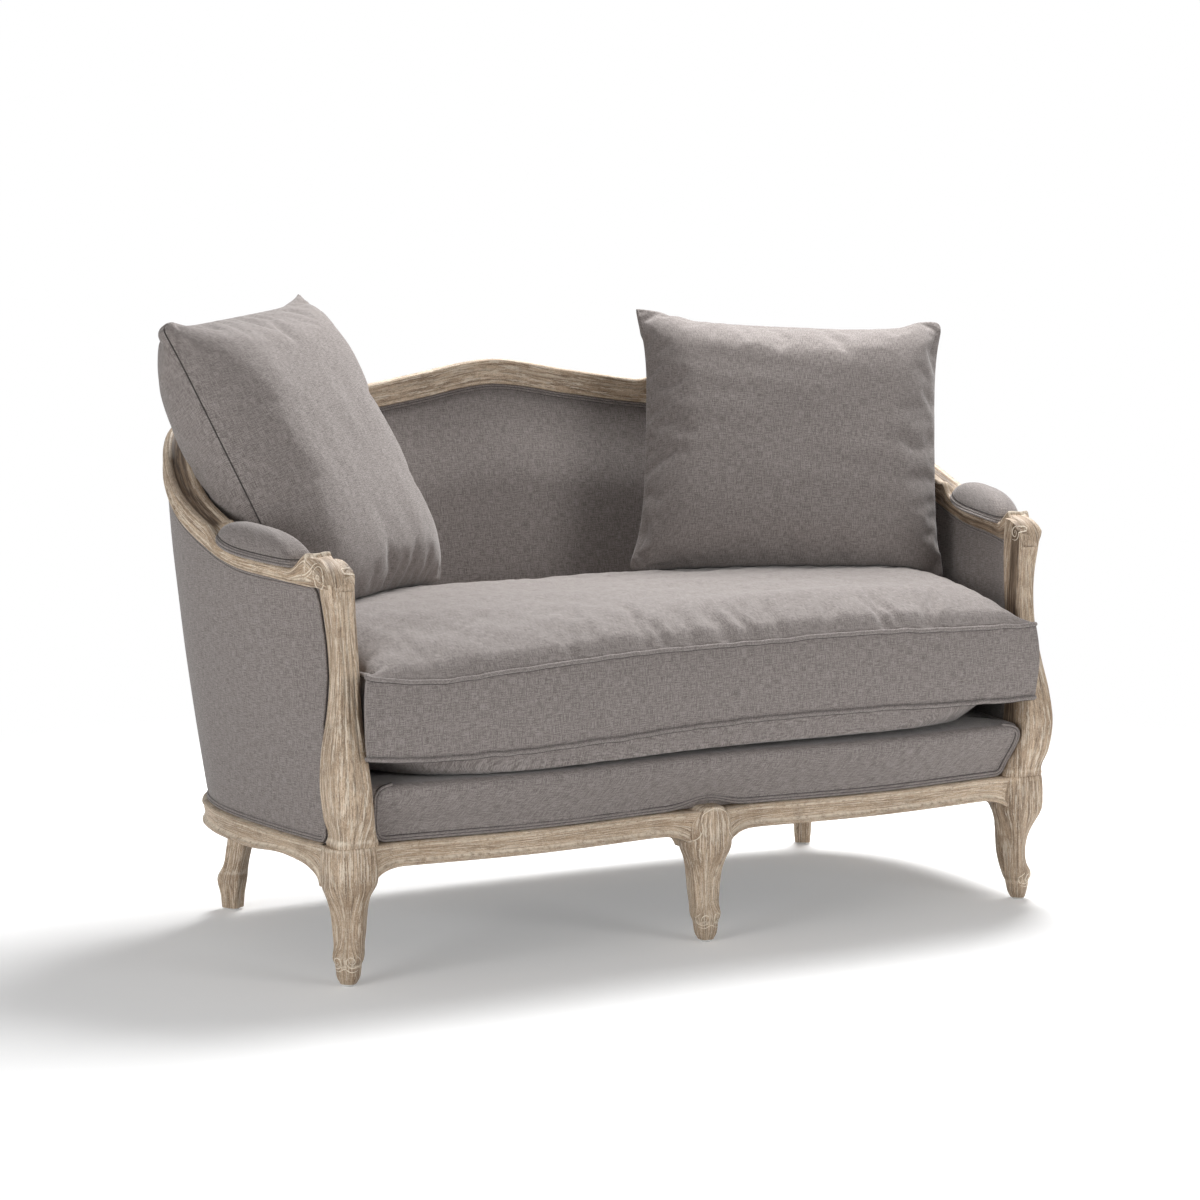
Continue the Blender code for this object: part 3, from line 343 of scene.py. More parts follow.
def tube(name, path, radius, sides, material):
    path = np.asarray(path, float)
    tangent = unit(np.gradient(path, axis=0))
    side = np.cross(tangent[0], (0.31, 0.17, 0.93))
    sideways = []
    for way in tangent:                       # carried along without twist
        side = side - way * np.dot(side, way)
        side = side / np.linalg.norm(side)
        sideways.append(side)
    sideways = np.array(sideways)
    upward = np.cross(tangent, sideways)
    radius = np.broadcast_to(radius, len(path))

    def place(u, v):
        row = np.rint(v * (len(path) - 1)).astype(int)
        angle = 2 * math.pi * u[:, None]
        ring = np.cos(angle) * sideways[row] + np.sin(angle) * upward[row]
        return path[row] + ring * radius[row][:, None]

    return patch(name, sides, len(path) - 1, place, material, closed=True, capped=True, bias=True)


weltLook = {
    "over": 1.15, "under": 1.1, "columns": 220, "crestColumns": 600,
    # groove, with the keys of the next line, sizes and places the lines of painted shade along the
    # cords
    "radius": 0.0023, "sides": 10, "step": 0.004, "sink": 0.95, "groove": 0.0007,
    "shadeSides": 6, "beside": 2.02, "between": 1.25, "foot": 0.0003,
}


def besideLine(path, normal):
    return unit(np.cross(unit(np.gradient(path, axis=0)), normal))


def cordPair(name, path, normal):             # a double welt
    sideways = besideLine(path, normal)
    radius = weltLook["radius"]
    lift = normal * radius * weltLook["sink"]
    return joined(name, [tube(name, path + sideways * side * radius + lift, radius,
                              weltLook["sides"], linen) for side in (-1, 1)])


def cordShade(name, path, normal):            # dark lines of painted shade beside and between the cords
    look = weltLook
    sideways = besideLine(path, normal)
    beside, between = look["radius"] * look["beside"], look["radius"] * look["between"]
    lines = [tube(name, path + sideways * place + normal * rise, look["groove"],
                  look["shadeSides"], seamDark)
             for place, rise in ((-beside, look["foot"]), (0, between), (beside, look["foot"]))]
    return fit(joined(name, lines), "frame")


# Shader wires

class Wire:                                   # one socket that does maths
    def __init__(self, tree, socket=None):
        self.tree, self.socket = tree, socket

    def make(self, kind, settings=None, sockets=None, out=0):
        node = self.tree.nodes.new(kind)
        for key, value in (settings or {}).items():
            setattr(node, key, value)
        for key, value in (sockets or {}).items():
            if isinstance(value, Wire):
                self.tree.links.new(value.socket, node.inputs[key])
            else:
                node.inputs[key].default_value = value
        return Wire(self.tree, None if out is None else node.outputs[out])

    def maths(self, operation, *values):
        return self.make("ShaderNodeMath", {"operation": operation}, dict(enumerate(values)))

    def __add__(self, other):
        return self.maths("ADD", self, other)

    __radd__ = __add__

    def __sub__(self, other):
        return self.maths("SUBTRACT", self, other)

    def __mul__(self, other):
        return self.maths("MULTIPLY", self, other)

    __rmul__ = __mul__

    def span(self, low, high):                # 0 below low, 1 above high
        return self.make("ShaderNodeMapRange", {"interpolation_type": "SMOOTHSTEP"},
                         {"Value": self, "From Min": low, "From Max": high})

    def noise(self, scale, detail=2.0, rough=0.5, warp=0.0):
        place = self.make("ShaderNodeVectorMath", {"operation": "MULTIPLY"}, {0: self, 1: scale})
        return self.make("ShaderNodeTexNoise", {}, {
            "Vector": place, "Scale": 1.0, "Detail": detail, "Roughness": rough,
            "Distortion": warp})

    def tint(self, first, second):            # a colour between two by this factor
        return self.make("ShaderNodeMix", {"data_type": "RGBA"}, {0: self, 6: first, 7: second},
                         out=2)


def newMaterial(name, **constants):
    material = bpy.data.materials.new(name)
    material.use_nodes = True
    shader = material.node_tree.nodes["Principled BSDF"]
    for key, value in constants.items():
        shader.inputs[key.replace("_", " ")].default_value = value
    return material, Wire(material.node_tree), shader


def feed(wires, shader, **links):
    for key, wire in links.items():
        wires.tree.links.new(wire.socket, shader.inputs[key.replace("_", " ")])


def raised(wires, height, distance):
    return wires.make("ShaderNodeBump", {}, {"Strength": 1.0, "Distance": distance,
                                             "Height": height})


oakLook = {
    "pale": (0.610, 0.470, 0.340, 1), "tan": (0.360, 0.252, 0.162, 1),
    "brown": (0.185, 0.122, 0.076, 1), "dark": (0.062, 0.040, 0.025, 1),
    "lime": (0.80, 0.71, 0.585, 1),
    "depth": 0.0006, "roughness": 0.62, "roughSpread": 0.2, "specular": 0.35,
    # noises that run with the grain: scale across, along and up, then detail, roughness, warp
    "grain": {"bands": ((60, 1.8, 1), 3.0, 0.6, 0.10), "streak": ((230, 9, 1), 4.0, 0.7, 0.20),
              "fibre": ((430, 20, 1), 4.0, 0.7), "pores": ((1300, 90, 1), 2.0, 0.6),
              "chalk": ((340, 17, 1), 3.0, 0.75)},
    # noises that know no direction
    "mottle": {"cloud": ((9, 9, 9), 4.0, 0.6), "speckle": ((620, 620, 620), 3.0, 0.75),
               "smudge": ((20, 20, 20), 5.0, 0.7), "wear": ((120, 120, 120), 3.0)},
    # what is laid on: the noise, from where to where it shows, its strength and colour
    "coats": (("streak", 0.49, 0.62, 0.85, "brown"), ("fibre", 0.50, 0.62, 0.70, "brown"),
              ("pores", 0.56, 0.68, 0.60, "dark"), ("smudge", 0.50, 0.68, 0.55, "brown"),
              ("chalk", 0.52, 0.60, 0.72, "lime"), ("speckle", 0.52, 0.66, 0.45, "lime"),
              ("speckle", 0.48, 0.34, 0.45, "brown")),
    "relief": (("fibre", 0.4), ("pores", 0.2), ("streak", 0.3), ("speckle", 0.1)),
}


def coated(base, noises, look):
    for key, low, high, strength, colour in look["coats"]:
        base = (noises[key].span(low, high) * strength).tint(base, look[colour])
    return base


def limedOak(name):
    look = oakLook
    material, wires, shader = newMaterial(name, Specular_IOR_Level=look["specular"])
    along = wires.make("ShaderNodeUVMap", {"uv_map": "cloth"})    # x across, y along the grain
    place = wires.make("ShaderNodeTexCoord", out="Object")
    lime = wires.make("ShaderNodeAttribute", {"attribute_name": "lime"}, out="Fac")
    noises = {key: along.noise(*values) for key, values in look["grain"].items()}
    noises |= {key: place.noise(*values) for key, values in look["mottle"].items()}
    tone = (noises["bands"] * 0.5 + noises["cloud"] * 0.5).span(0.36, 0.60)
    base = coated(tone.tint(look["tan"], look["pale"]), noises, look)
    # Lime below zero paints shade beside the cushion, on inner faces, in the arm rails' channel
    # and on the right-hand leg and post. It also darkens the heads over the posts.
    darkening = (lime * -1).span(0.05, 1.0)       # lime below zero darkens: painted shade, and a darker head
    base = (darkening * 0.70).tint(base, look["brown"])
    base = (darkening * noises["streak"].span(0.40, 0.56) * 0.80).tint(base, look["dark"])
    worn = lime.span(0.0, 1.0) * noises["wear"].span(0.30, 0.60)
    base = (worn * 0.85).tint(base, look["lime"])
    height = sum(noises[key] * share for key, share in look["relief"])
    feed(wires, shader, Base_Color=base, Normal=raised(wires, height, look["depth"]),
         Roughness=look["roughness"] + look["roughSpread"] * (noises["fibre"] - 0.5))
    return material


linenLook = {
    "colour": (0.216, 0.188, 0.176, 1), "light": (0.400, 0.362, 0.345, 1),
    "dark": (0.100, 0.083, 0.077, 1), "evenness": 0.45, "depth": 0.0005,
    "shine": {"Roughness": 0.92, "Specular_IOR_Level": 0.2, "Sheen_Weight": 0.25,
              "Sheen_Roughness": 0.45},
    "weave": {"warp": ((760, 60, 1), 2.0, 0.6), "weft": ((60, 760, 1), 2.0, 0.6),
              "coarseWarp": ((430, 44, 1), 2.0, 0.6), "coarseWeft": ((44, 430, 1), 2.0, 0.6),
              "slubAlong": ((40, 520, 1), 2.0), "slubAcross": ((520, 40, 1), 2.0),
              "fleck": ((640, 640, 1), 3.0, 0.75)},
    "coats": (("coarseWarp", 0.50, 0.66, 0.09, "dark"), ("coarseWeft", 0.50, 0.66, 0.09, "light"),
              ("fleck", 0.50, 0.64, 0.50, "light"), ("fleck", 0.50, 0.36, 0.50, "dark")),
    "relief": (("warp", 0.35), ("weft", 0.35), ("slub", 0.3), ("fleck", 0.2)),
}


def linenCloth(name):
    look = linenLook
    material, wires, shader = newMaterial(name, **look["shine"])
    weave = wires.make("ShaderNodeUVMap", {"uv_map": "cloth"})
    noises = {key: weave.noise(*values) for key, values in look["weave"].items()}
    noises["slub"] = noises["slubAlong"].span(0.64, 0.74) + noises["slubAcross"].span(0.66, 0.76)
    base = (noises["warp"] * 0.5 + noises["weft"] * 0.5).span(0.40, 0.60)
    base = wires.make("ShaderNodeMix", {"data_type": "RGBA"},
                      {0: look["evenness"], 6: base.tint(look["dark"], look["light"]),
                       7: look["colour"]}, out=2)
    base = coated(base, noises, look)
    base = (noises["slub"] * 0.14).tint(base, look["light"])
    height = sum(noises[key] * share for key, share in look["relief"])
    feed(wires, shader, Base_Color=base, Normal=raised(wires, height, look["depth"]))
    return material


def mottled(name, low, high, scale, rough, depth=0, noise=(4.0, 0.6), reach=(0.35, 0.65)):
    material, wires, shader = newMaterial(name, Roughness=rough)
    mottle = wires.make("ShaderNodeTexCoord", out="Object").noise(scale, *noise)
    feed(wires, shader, Base_Color=mottle.span(*reach).tint(low, high))
    if depth:
        feed(wires, shader, Normal=raised(wires, mottle, depth))
    return material


oak = limedOak("limedOak")
linen = linenCloth("taupeLinen")
limeWash = mottled("limeInCarving", oakLook["tan"], oakLook["lime"], (420, 420, 420), 0.7,
                   noise=(3.0,), reach=(0.28, 0.5))
seamDark = mottled("seamShadow", (0.035, 0.03, 0.028, 1), (0.075, 0.065, 0.06, 1),
                   (600, 600, 600), 0.95, noise=(2.0,), reach=(0.3, 0.7))
print("materials mixed")


# Carcass: kept solids that are out of sight, and the glides

# Part of a piece's name, its material, low and high colour, scale, roughness and relief
carcassLook = (
    ("_web_", "juteWebbing", (0.30, 0.22, 0.13, 1), (0.42, 0.33, 0.21, 1), (300, 300, 300),
     0.95, 0.0004),
    ("dust_cover", "blackLining", (0.012, 0.012, 0.012, 1), (0.04, 0.04, 0.04, 1),
     (500, 500, 500), 0.98, 0.0002),
    ("_glide", "whiteNylon", (0.62, 0.62, 0.60, 1), (0.74, 0.74, 0.72, 1), (120, 120, 120),
     0.4, 0.0001),
    ("_stile", "bareBeech", (0.42, 0.29, 0.17, 1), (0.55, 0.40, 0.26, 1), (30, 30, 4),
     0.7, 0.0003),
)


def dressCarcass():
    for part, *look in carcassLook:
        material = mottled(*look)
        for name, node in frame["nodes"].items():
            if part in name:
                node.material_slots[0].material = material


dressCarcass()
print("carcass dressed")


# Seat rails

seatRail = {
    "proud": 0.006, "bead": 0.004, "depth": 0.062, "frontDepth": 0.050,
    "frontSetback": 0.010, "frontBow": 0.022, "bracketDrop": 0.028, "bracketReach": 0.058,
    "scallop": 0.008, "scallopReach": 0.240, "centreBlock": 0.037, "blockIn": 0.045,
    "blockBack": 0.045, "centreFlare": (0.026, 0.100), "cornerFlare": (0.018, 0.085),
    "centreLap": 0.012, "cornerLap": 0.018, "settle": 0.03,
    "rings": 160, "sideRings": 230, "backRings": 200,
    # out as a share of the bead, rise as a share of the rail, lime
    "moulding": ((0.0, 0.0, 0.2), (0.7, 0.015, 0.1), (1.05, 0.07, 0.0), (1.05, 0.13, 0.1),
                 (0.6, 0.19, 0.7), (0.12, 0.225, 1.0), (-0.05, 0.27, 0.5), (-0.1, 0.38, 0.0),
                 (0.05, 0.52, 0.0), (0.3, 0.66, 0.0), (0.42, 0.75, 0.2), (0.28, 0.80, 0.8),
                 (0.9, 0.845, 0.5), (1.1, 0.90, 0.0), (0.95, 0.96, 0.2), (0.3, 1.0, 0.4)),
}


def frontFace(x):
    bow = seatRail["frontBow"] * np.sin(math.pi * np.abs(x) / sizes["legX"]) ** 2
    return sizes["feetLine"] - seatRail["frontSetback"] - bow


def railSection(depth):                       # moulding, then the plain top, back and underside
    rows = [(out * seatRail["bead"], rise, lime) for out, rise, lime
            in dense(seatRail["moulding"], 4)]
    hidden = ((-depth / 2, 1.0, 0), (-depth, 1.0, 0), (-depth, 0.0, 0), (-depth / 2, 0.0, 0))
    return np.array(rows + list(hidden) + [rows[0]])


def bracket(distance):
    near = 1 - np.clip(distance / seatRail["bracketReach"], 0, 1)
    return seatRail["bracketDrop"] * (1 - np.sqrt(1 - near * near))


def flare(distance, kind):                    # the rail swells to meet a knee
    full, reach = seatRail[kind]
    return full * np.clip(1 - distance / reach, 0, 1) ** 2.2


def railHeight(bottom, rise):                 # beads keep their size where the rail is deeper
    height = sizes["railTop"] - sizes["railBottom"]
    lower, upper = bottom + rise * height, sizes["railTop"] - (1 - rise) * height
    return mix(lower, upper, smooth((rise - 0.25) / 0.5))


def frontRail(name, side):
    start = seatRail["centreBlock"] - seatRail["centreLap"]   # it runs on into the blocks
    end = sizes["legX"] - seatRail["blockIn"] + seatRail["cornerLap"]
    section = railSection(seatRail["frontDepth"])

    def place(u, v):
        out, rise, lime = sectionRow(section, u)
        x = mix(start, end, v)
        near = np.minimum(x - start, end - x)
        z = railHeight(sizes["railBottom"] - bracket(np.maximum(near - 0.009, 0)), rise)
        swell = flare(x - start, "centreFlare") + flare(end - x, "cornerFlare")
        front = out > -0.01
        out = np.where(front, out * mix(0.35, 1, smooth(near / seatRail["settle"])), out)
        y = frontFace(x) - out - np.where(front, swell, 0)
        lime = lime * mix(0.3, 1, smooth(near / seatRail["settle"]))
        return np.stack([side * x, y, z], axis=1), lime

    return wooden(name, len(section) - 1, seatRail["rings"], place, 50)


def wallRail(name, first, last, along, dropAt=None):
    section = railSection(seatRail["depth"])

    def place(u, v):
        out, rise, lime = sectionRow(section, u)
        station = mix(first, last, v)
        bottom, swell = sizes["railBottom"], 0
        if dropAt is not None:
            distance = np.maximum(wallPlan(station, 0, 0)[:, 1] - dropAt, 0)
            curve = np.sin(math.pi * np.clip(distance / seatRail["scallopReach"], 0, 1)) ** 2
            bottom = bottom + seatRail["scallop"] * curve - bracket(distance)
            front = out > -0.01
            swell = np.where(front, 0.2 * flare(distance, "cornerFlare"), 0)
            out = np.where(front, out * mix(0.4, 1, smooth(distance / seatRail["settle"])), out)
        plan = wallPlan(station, 0, -out - seatRail["proud"] - swell)
        return np.column_stack([plan, railHeight(bottom, rise)]), lime

    return wooden(name, len(section) - 1, along, place, 50)


def seatRails():
    corner = sizes["feetLine"] + seatRail["blockBack"]
    edge = 1 - shares["corner"]
    for word, side in (("left", -1), ("right", 1)):
        frontRail(f"front_{word}_rail", side)
        first = float(stationBehind(corner - 0.024, 0, side))
        wallRail(f"{word}_side_rail", first, side * (edge + sizes["gap"]),
                 seatRail["sideRings"], corner - 0.014)
    wallRail("back_rail", -edge, edge, seatRail["backRings"])


# Legs

legLook = {
    "size": 0.040, "squareness": 2.6, "blockSquareness": 2.9, "foot": 0.0043,
    "blockFront": 0.038, "blockBack": 0.045, "blockOut": 0.039, "blockIn": 0.050,
    "centreY": -0.011, "centreBlock": 0.043, "centreFront": 0.036, "centreCrown": 0.008,
    # the last is painted shade that darkens the right leg
    "rings": 190, "around": 132, "topPart": 0.18, "paintedRightShade": 0.32,
    # the raised lines down the front: height, their places round the leg, narrowness
    "arris": 0.0016, "centreLines": (-0.55, 0.55), "cornerLines": (0.0,), "arrisWidth": 0.010,
    # how much the head draws in ahead and aside
    "centreHead": (0.14, 0.70), "cornerHead": (0.10, 0.10),
    "limed": {"arris": 0.9, "head": 0.5, "ankle": 0.7},
    # height, outward, inward and sideways reach as shares of the leg size, block share
    "rows": ((0.000, 0.30, 0.35, 0.32, 0.0), (0.050, 0.37, 0.47, 0.45, 0.0),
             (0.120, 0.43, 0.56, 0.50, 0.0), (0.165, 0.45, 0.61, 0.52, 0.0),
             (0.210, 0.54, 0.71, 0.60, 0.0), (0.255, 0.52, 0.79, 0.62, 0.0),
             (0.310, 0.38, 0.88, 0.60, 0.0), (0.450, 0.28, 1.03, 0.65, 0.0),
             (0.580, 0.34, 1.08, 0.70, 0.0), (0.700, 0.54, 1.10, 0.77, 0.04),
             (0.780, 0.70, 1.10, 0.84, 0.22), (0.840, 0.82, 1.12, 0.94, 0.52),
             (0.890, 0.90, 1.14, 1.04, 0.82), (0.935, 0.96, 1.14, 1.12, 0.98),
             (1.000, 1.02, 1.14, 1.20, 1.0)),
}
backLegLook = {
    "size": 0.036, "splay": 0.034, "turn": math.radians(33), "squareness": 5.2, "share": 0.600,
    "rings": 90, "around": 80, "limeLine": 0.36,
    # height, backward shift, half depth, half width
    "rows": ((0.00, 1.00, 0.46, 0.42), (0.12, 1.00, 0.50, 0.48), (0.30, 0.99, 0.68, 0.51),
             (0.42, 0.76, 0.54, 0.50), (0.60, 0.52, 0.56, 0.50), (0.80, 0.22, 0.64, 0.53),
             (1.00, 0.04, 0.72, 0.56)),
}


def polarReach(angle, reaches, squareness):   # reaches ahead, behind, on the left and on the right
    ahead, behind, left, right = reaches
    along, across = np.cos(angle), np.sin(angle)
    length = np.abs(along) / np.where(along > 0, ahead, behind)
    width = np.abs(across) / np.where(across > 0, left, right)
    return (length ** squareness + width ** squareness) ** (-1 / squareness)


def turned(centre, forward, ahead, aside, z):    # from a leg's own axes to the room's
    sideways = np.array([-forward[1], forward[0]])
    plan = np.asarray(centre) + np.outer(ahead, forward) + np.outer(aside, sideways)
    return np.column_stack([plan, z])


def headShare(v, part):                       # the last part of v rounds the top
    grown = v * (1 + part)
    return np.clip(grown, 0, 1), np.clip((grown - 1) / part, 0, 1)


def frontLeg(name, centre, forward, turn, block, crown=0.0):
    look = legLook
    top = sizes["railTop"] + crown

    def place(u, v):
        angle = 2 * math.pi * u
        height, over = headShare(v, look["topPart"])
        size = look["size"]
        ahead, behind, aside, share = (readCurve(look["rows"], height, k) for k in range(1, 5))
        radius = polarReach(angle, (size * ahead, size * behind, size * aside, size * aside),
                            look["squareness"])
        turnedBy = (angle + math.pi) % (2 * math.pi) - math.pi
        ridge = sum(np.exp(-(turnedBy - at) ** 2 / look["arrisWidth"])
                    for at in look["centreLines" if crown else "cornerLines"])
        radius = radius + look["arris"] * ridge * bump(height - 0.60, 0.50)
        boxed = polarReach(angle + turn, block, look["blockSquareness"])
        radius = mix(radius, boxed, np.clip(share, 0, 1))
        arch = np.sin(over * math.pi / 2)
        shrink = 1 - np.cos(over * math.pi / 2)
        inAhead, inAside = look["centreHead" if crown else "cornerHead"]
        reachAhead = radius * np.cos(angle) * (1 - shrink * inAhead)
        reachAside = radius * np.sin(angle) * (1 - shrink * inAside)
        z = mix(look["foot"], sizes["railBottom"], height)
        z = np.where(over > 0, mix(sizes["railBottom"], top, arch), z)
        limed = look["limed"]
        lime = limed["arris"] * ridge * bump(height - 0.55, 0.48) \
            + limed["head"] * bump(over - 0.75, 0.25) \
            + limed["ankle"] * bump(height - 0.165, 0.03)
        # Painted shade: the right leg is darker all over.
        lime = lime - look["paintedRightShade"] * (forward[0] > 0)
        return turned(centre, forward, reachAhead, reachAside, z), lime

    return wooden(name, look["around"], look["rings"], place, 60)


def backLeg(name, side):
    look = backLegLook
    way = np.array([side * math.sin(look["turn"]), math.cos(look["turn"])])

    def place(u, v):
        angle = 2 * math.pi * u
        shift, deep, wide = (readCurve(look["rows"], v, k) for k in range(1, 4))
        top = wallPlan(side * (1 - look["share"]), 0, seatRail["depth"] / 3)
        centre = top + np.outer(look["splay"] * shift, way)
        radius = polarReach(angle, (look["size"] * deep,) * 2 + (look["size"] * wide,) * 2,
                            look["squareness"])
        z = mix(legLook["foot"], sizes["railBottom"] - sizes["gap"], v)
        foot = turned(centre, way, radius * np.cos(angle), radius * np.sin(angle), z)
        return foot, 0.5 * bump(v - look["limeLine"], 0.05)

    return wooden(name, look["around"], look["rings"], place, 60)


def legs():
    look = legLook
    for word, side in (("left", -1), ("right", 1)):
        forward = unit(np.array([side, -1.0]))
        inner, outer = look["blockIn"], look["blockOut"]
        block = (look["blockFront"], look["blockBack"])
        block += (outer, inner) if side > 0 else (inner, outer)
        frontLeg(f"front_{word}_leg", (side * sizes["legX"], sizes["feetLine"]), forward,
                 side * math.pi / 4, block)
        backLeg(f"back_{word}_leg", side)
    frontLeg("front_centre_leg", (0, sizes["feetLine"] + look["centreY"]), np.array([0, -1.0]), 0,
             (look["centreFront"], look["blockBack"]) + (look["centreBlock"],) * 2,
             look["centreCrown"])


# Arm posts

postLook = {
    "size": 0.040, "squareness": 5.0, "headSquareness": 3.8, "around": 180, "rings": 260,
    "headUnder": 0.0022, "headRound": 0.004, "headShrink": 0.16, "lip": 0.0012,
    # painted shade: beside the cushion, on the inner side and over the whole right post
    "paintedFrontShade": 1.5, "paintedInnerShade": 0.7, "paintedRightShade": 0.28,
    "fluteDepth": 0.0014, "fluteWidth": 0.0021,
    "flutes": (-0.42, 0.0, 0.42), "topPart": 0.06, "edge": (0.93, 0.07), "foot": (0.022, 0.014),
    "limed": {"flute": 0.6, "edge": 0.45, "foot": 0.6},
    # height, outer, inner, front and back reach over the post size
    "rows": ((0.000, 0.72, 1.15, 0.90, 0.60), (0.010, 0.75, 1.18, 0.93, 0.63),
             (0.022, 0.70, 1.12, 0.95, 0.58), (0.100, 0.86, 0.85, 1.30, 0.60),
             (0.210, 1.00, 0.66, 1.48, 0.62), (0.340, 0.95, 0.56, 1.18, 0.50),
             (0.465, 0.70, 0.50, 0.82, 0.42), (0.585, 0.50, 0.52, 0.55, 0.58),
             (0.700, 0.48, 0.52, 0.36, 0.80), (0.820, 0.60, 0.46, 0.29, 0.98),
             (0.890, 0.74, 0.42, 0.36, 1.075), (0.945, 0.79, 0.38, 0.44, 1.125),
             (0.985, 0.74, 0.34, 0.46, 1.125), (1.000, 0.66, 0.30, 0.40, 1.125)),
}


def postShare(z):
    base = sizes["railTop"] + sizes["gap"]
    return (z - base) / (sizes["postTop"] - base)


def postReach(z, column):                     # straight reading, as the solids' fabric follows it
    rows = np.array(postLook["rows"])
    return postLook["size"] * np.interp(postShare(z), rows[:, 0], rows[:, column])


def postBack(z):
    return sizes["feetLine"] + postReach(z, 4)


def armPost(name, side):
    look = postLook
    centre = (side * sizes["legX"], sizes["feetLine"])
    base = sizes["railTop"] + sizes["gap"]

    def place(u, v):
        angle = 2 * math.pi * u
        height, over = headShare(v, look["topPart"])
        outer, inner, front, back = (look["size"] * readCurve(look["rows"], height, k)
                                     for k in range(1, 5))
        pair = (outer, inner) if side > 0 else (inner, outer)
        square = mix(look["squareness"], look["headSquareness"], smooth((height - 0.80) / 0.12))
        radius = polarReach(angle, (front, back) + pair, square)
        across = radius * np.sin(angle)
        frontal = np.cos(angle) > 0
        face = (outer + inner) / 2
        middle = (outer - inner) / 2 * side
        spot = (across - middle) / face       # -1 to 1 over the front face
        groove = sum(np.exp(-((spot - at) * face / look["fluteWidth"]) ** 2)
                     for at in look["flutes"])
        groove = groove * frontal * smooth((height - 0.07) / 0.05) * smooth((0.93 - height) / 0.05)
        lip = frontal * bump(height - 0.965, 0.035)
        radius = radius - look["fluteDepth"] * groove + look["lip"] * lip
        radius = radius * (1 - look["headShrink"] * (1 - np.cos(over * math.pi / 2)))
        z = mix(base, sizes["postTop"] - look["headRound"], height) \
            + look["headRound"] * np.sin(over * math.pi / 2)
        drop = headTop(centre[1] - radius * np.cos(angle))[1]
        z = np.minimum(z, sizes["postTop"] - look["headUnder"] - drop)    # rolls over in front
        edgePlace, edgeReach = look["edge"]
        edges = np.exp(-((np.abs(spot) - edgePlace) / edgeReach) ** 2) * frontal
        broken = 0.55 + 0.45 * ripple(spot * 0.3, height, 87 + side, 0.16)
        footPlace, footReach = look["foot"]
        limed = look["limed"]
        lime = np.clip(limed["flute"] * groove * broken + limed["edge"] * edges * broken
                       + limed["foot"] * bump(height - footPlace, footReach), 0, 1)
        beside = smooth((-spot * side - 0.45) / 0.25) * frontal      # painted shade beside the cushion
        lime = lime - look["paintedFrontShade"] * beside * bump(height - 0.49, 0.15)
        # Painted shade on the post's inner side, and over the whole right post.
        inward = smooth((-np.sin(angle) * side - 0.70) / 0.2) * smooth((height - 0.05) / 0.1)
        lime = lime - look["paintedInnerShade"] * inward - look["paintedRightShade"] * (side > 0)
        return turned(centre, np.array([0, -1.0]), radius * np.cos(angle), radius * np.sin(angle),
                      z), lime

    return wooden(name, look["around"], look["rings"], place, 60)


# Arm rails and crest

topRail = {
    "out": -0.004, "in": 0.050, "bead": 0.004, "armHeight": 0.036, "scoop": 0.022,
    "neck": 0.048, "crestHeight": 0.042,
    "noseFront": 0.0185, "noseStart": 0.044, "noseDrop": 0.047, "noseNarrow": 0.0075,
    "noseShare": 0.14, "noseTurn": 0.017, "noseIn": 0.003, "noseBevel": 0.011,
    # painted shadow in the channel behind the pads, and a darker head over the posts
    "tuck": 0.0065, "headDarkening": 0.42, "paintedChannelShadow": 1.3, "leastLime": -0.12,
    "earPlace": (0.006, 0.013), "lipLine": (0.001, 0.002), "settle": 0.02, "least": 0.003,
    "armRings": 480, "crestRings": 200,
    "collarBehind": 0.0465, "collarReach": 0.034, "collarRise": 0.0065, "ear": 0.007,
    "shoulder": 0.006, "shoulderReach": 0.022,
    # across from the outer face, rise, bead, lime; lime below zero is painted shade on the inner
    # face
    "section": ((0.08, 0.0, 0.0, 0.3), (0.01, 0.02, 0.0, 0.0), (-0.02, 0.09, 0.0, 0.0),
                (0.0, 0.17, 0.0, 0.3), (0.045, 0.22, 0.0, 1.0), (0.035, 0.28, 0.0, 0.5),
                (0.0, 0.42, 0.0, 0.0), (-0.01, 0.60, 0.0, 0.0), (0.0, 0.80, 0.0, 0.0),
                (0.04, 0.94, 0.0, 0.1), (0.10, 1.0, 0.15, 0.3), (0.17, 1.0, 0.38, 0.2),
                (0.24, 1.0, 0.1, 0.9), (0.31, 1.0, -0.7, 0.4), (0.42, 1.0, -0.85, 0.0),
                (0.55, 1.0, -0.45, 0.0), (0.66, 1.0, 0.3, 0.2), (0.73, 1.0, 1.1, 0.5),
                (0.80, 1.0, 1.45, 0.1), (0.88, 1.0, 1.5, 0.0), (0.95, 1.0, 1.25, 0.1),
                (0.99, 1.0, 0.5, 0.2), (1.0, 0.9, 0.0, -0.4), (0.985, 0.72, 0.0, 0.3),
                (0.96, 0.66, 0.0, 0.5), (0.985, 0.60, 0.0, -0.5), (1.0, 0.40, 0.0, -0.7),
                (0.99, 0.15, 0.0, -0.6), (0.97, 0.0, 0.0, -0.4), (0.5, 0.0, 0.0, 0.0),
                (0.08, 0.0, 0.0, 0.3)),
}


def topHeight(station):
    look = topRail
    share = 1 - np.abs(station)
    full = mix(look["neck"], look["armHeight"], smooth(share / shares["padEnd"]))
    full = mix(full, look["crestHeight"], smooth((share - shares["corner"])
                                                 / (1 - shares["corner"])))
    scoop = smooth((share - shares["padStart"]) / shares["padBlend"] + 1 / 2)
    scoop = scoop * (1 - smooth((share - shares["padEnd"]) / shares["padBlend"] + 1 / 2))
    return mix(full, look["scoop"], scoop)


def headTop(y):                               # how the top falls over the post's head
    reach = topRail["noseFront"] + topRail["noseStart"]
    ahead = np.clip((sizes["feetLine"] + topRail["noseStart"] - y) / reach, 0, 1)
    return ahead, topRail["noseDrop"] * (1 - np.sqrt(np.maximum(1 - ahead ** 2.3, 0)))


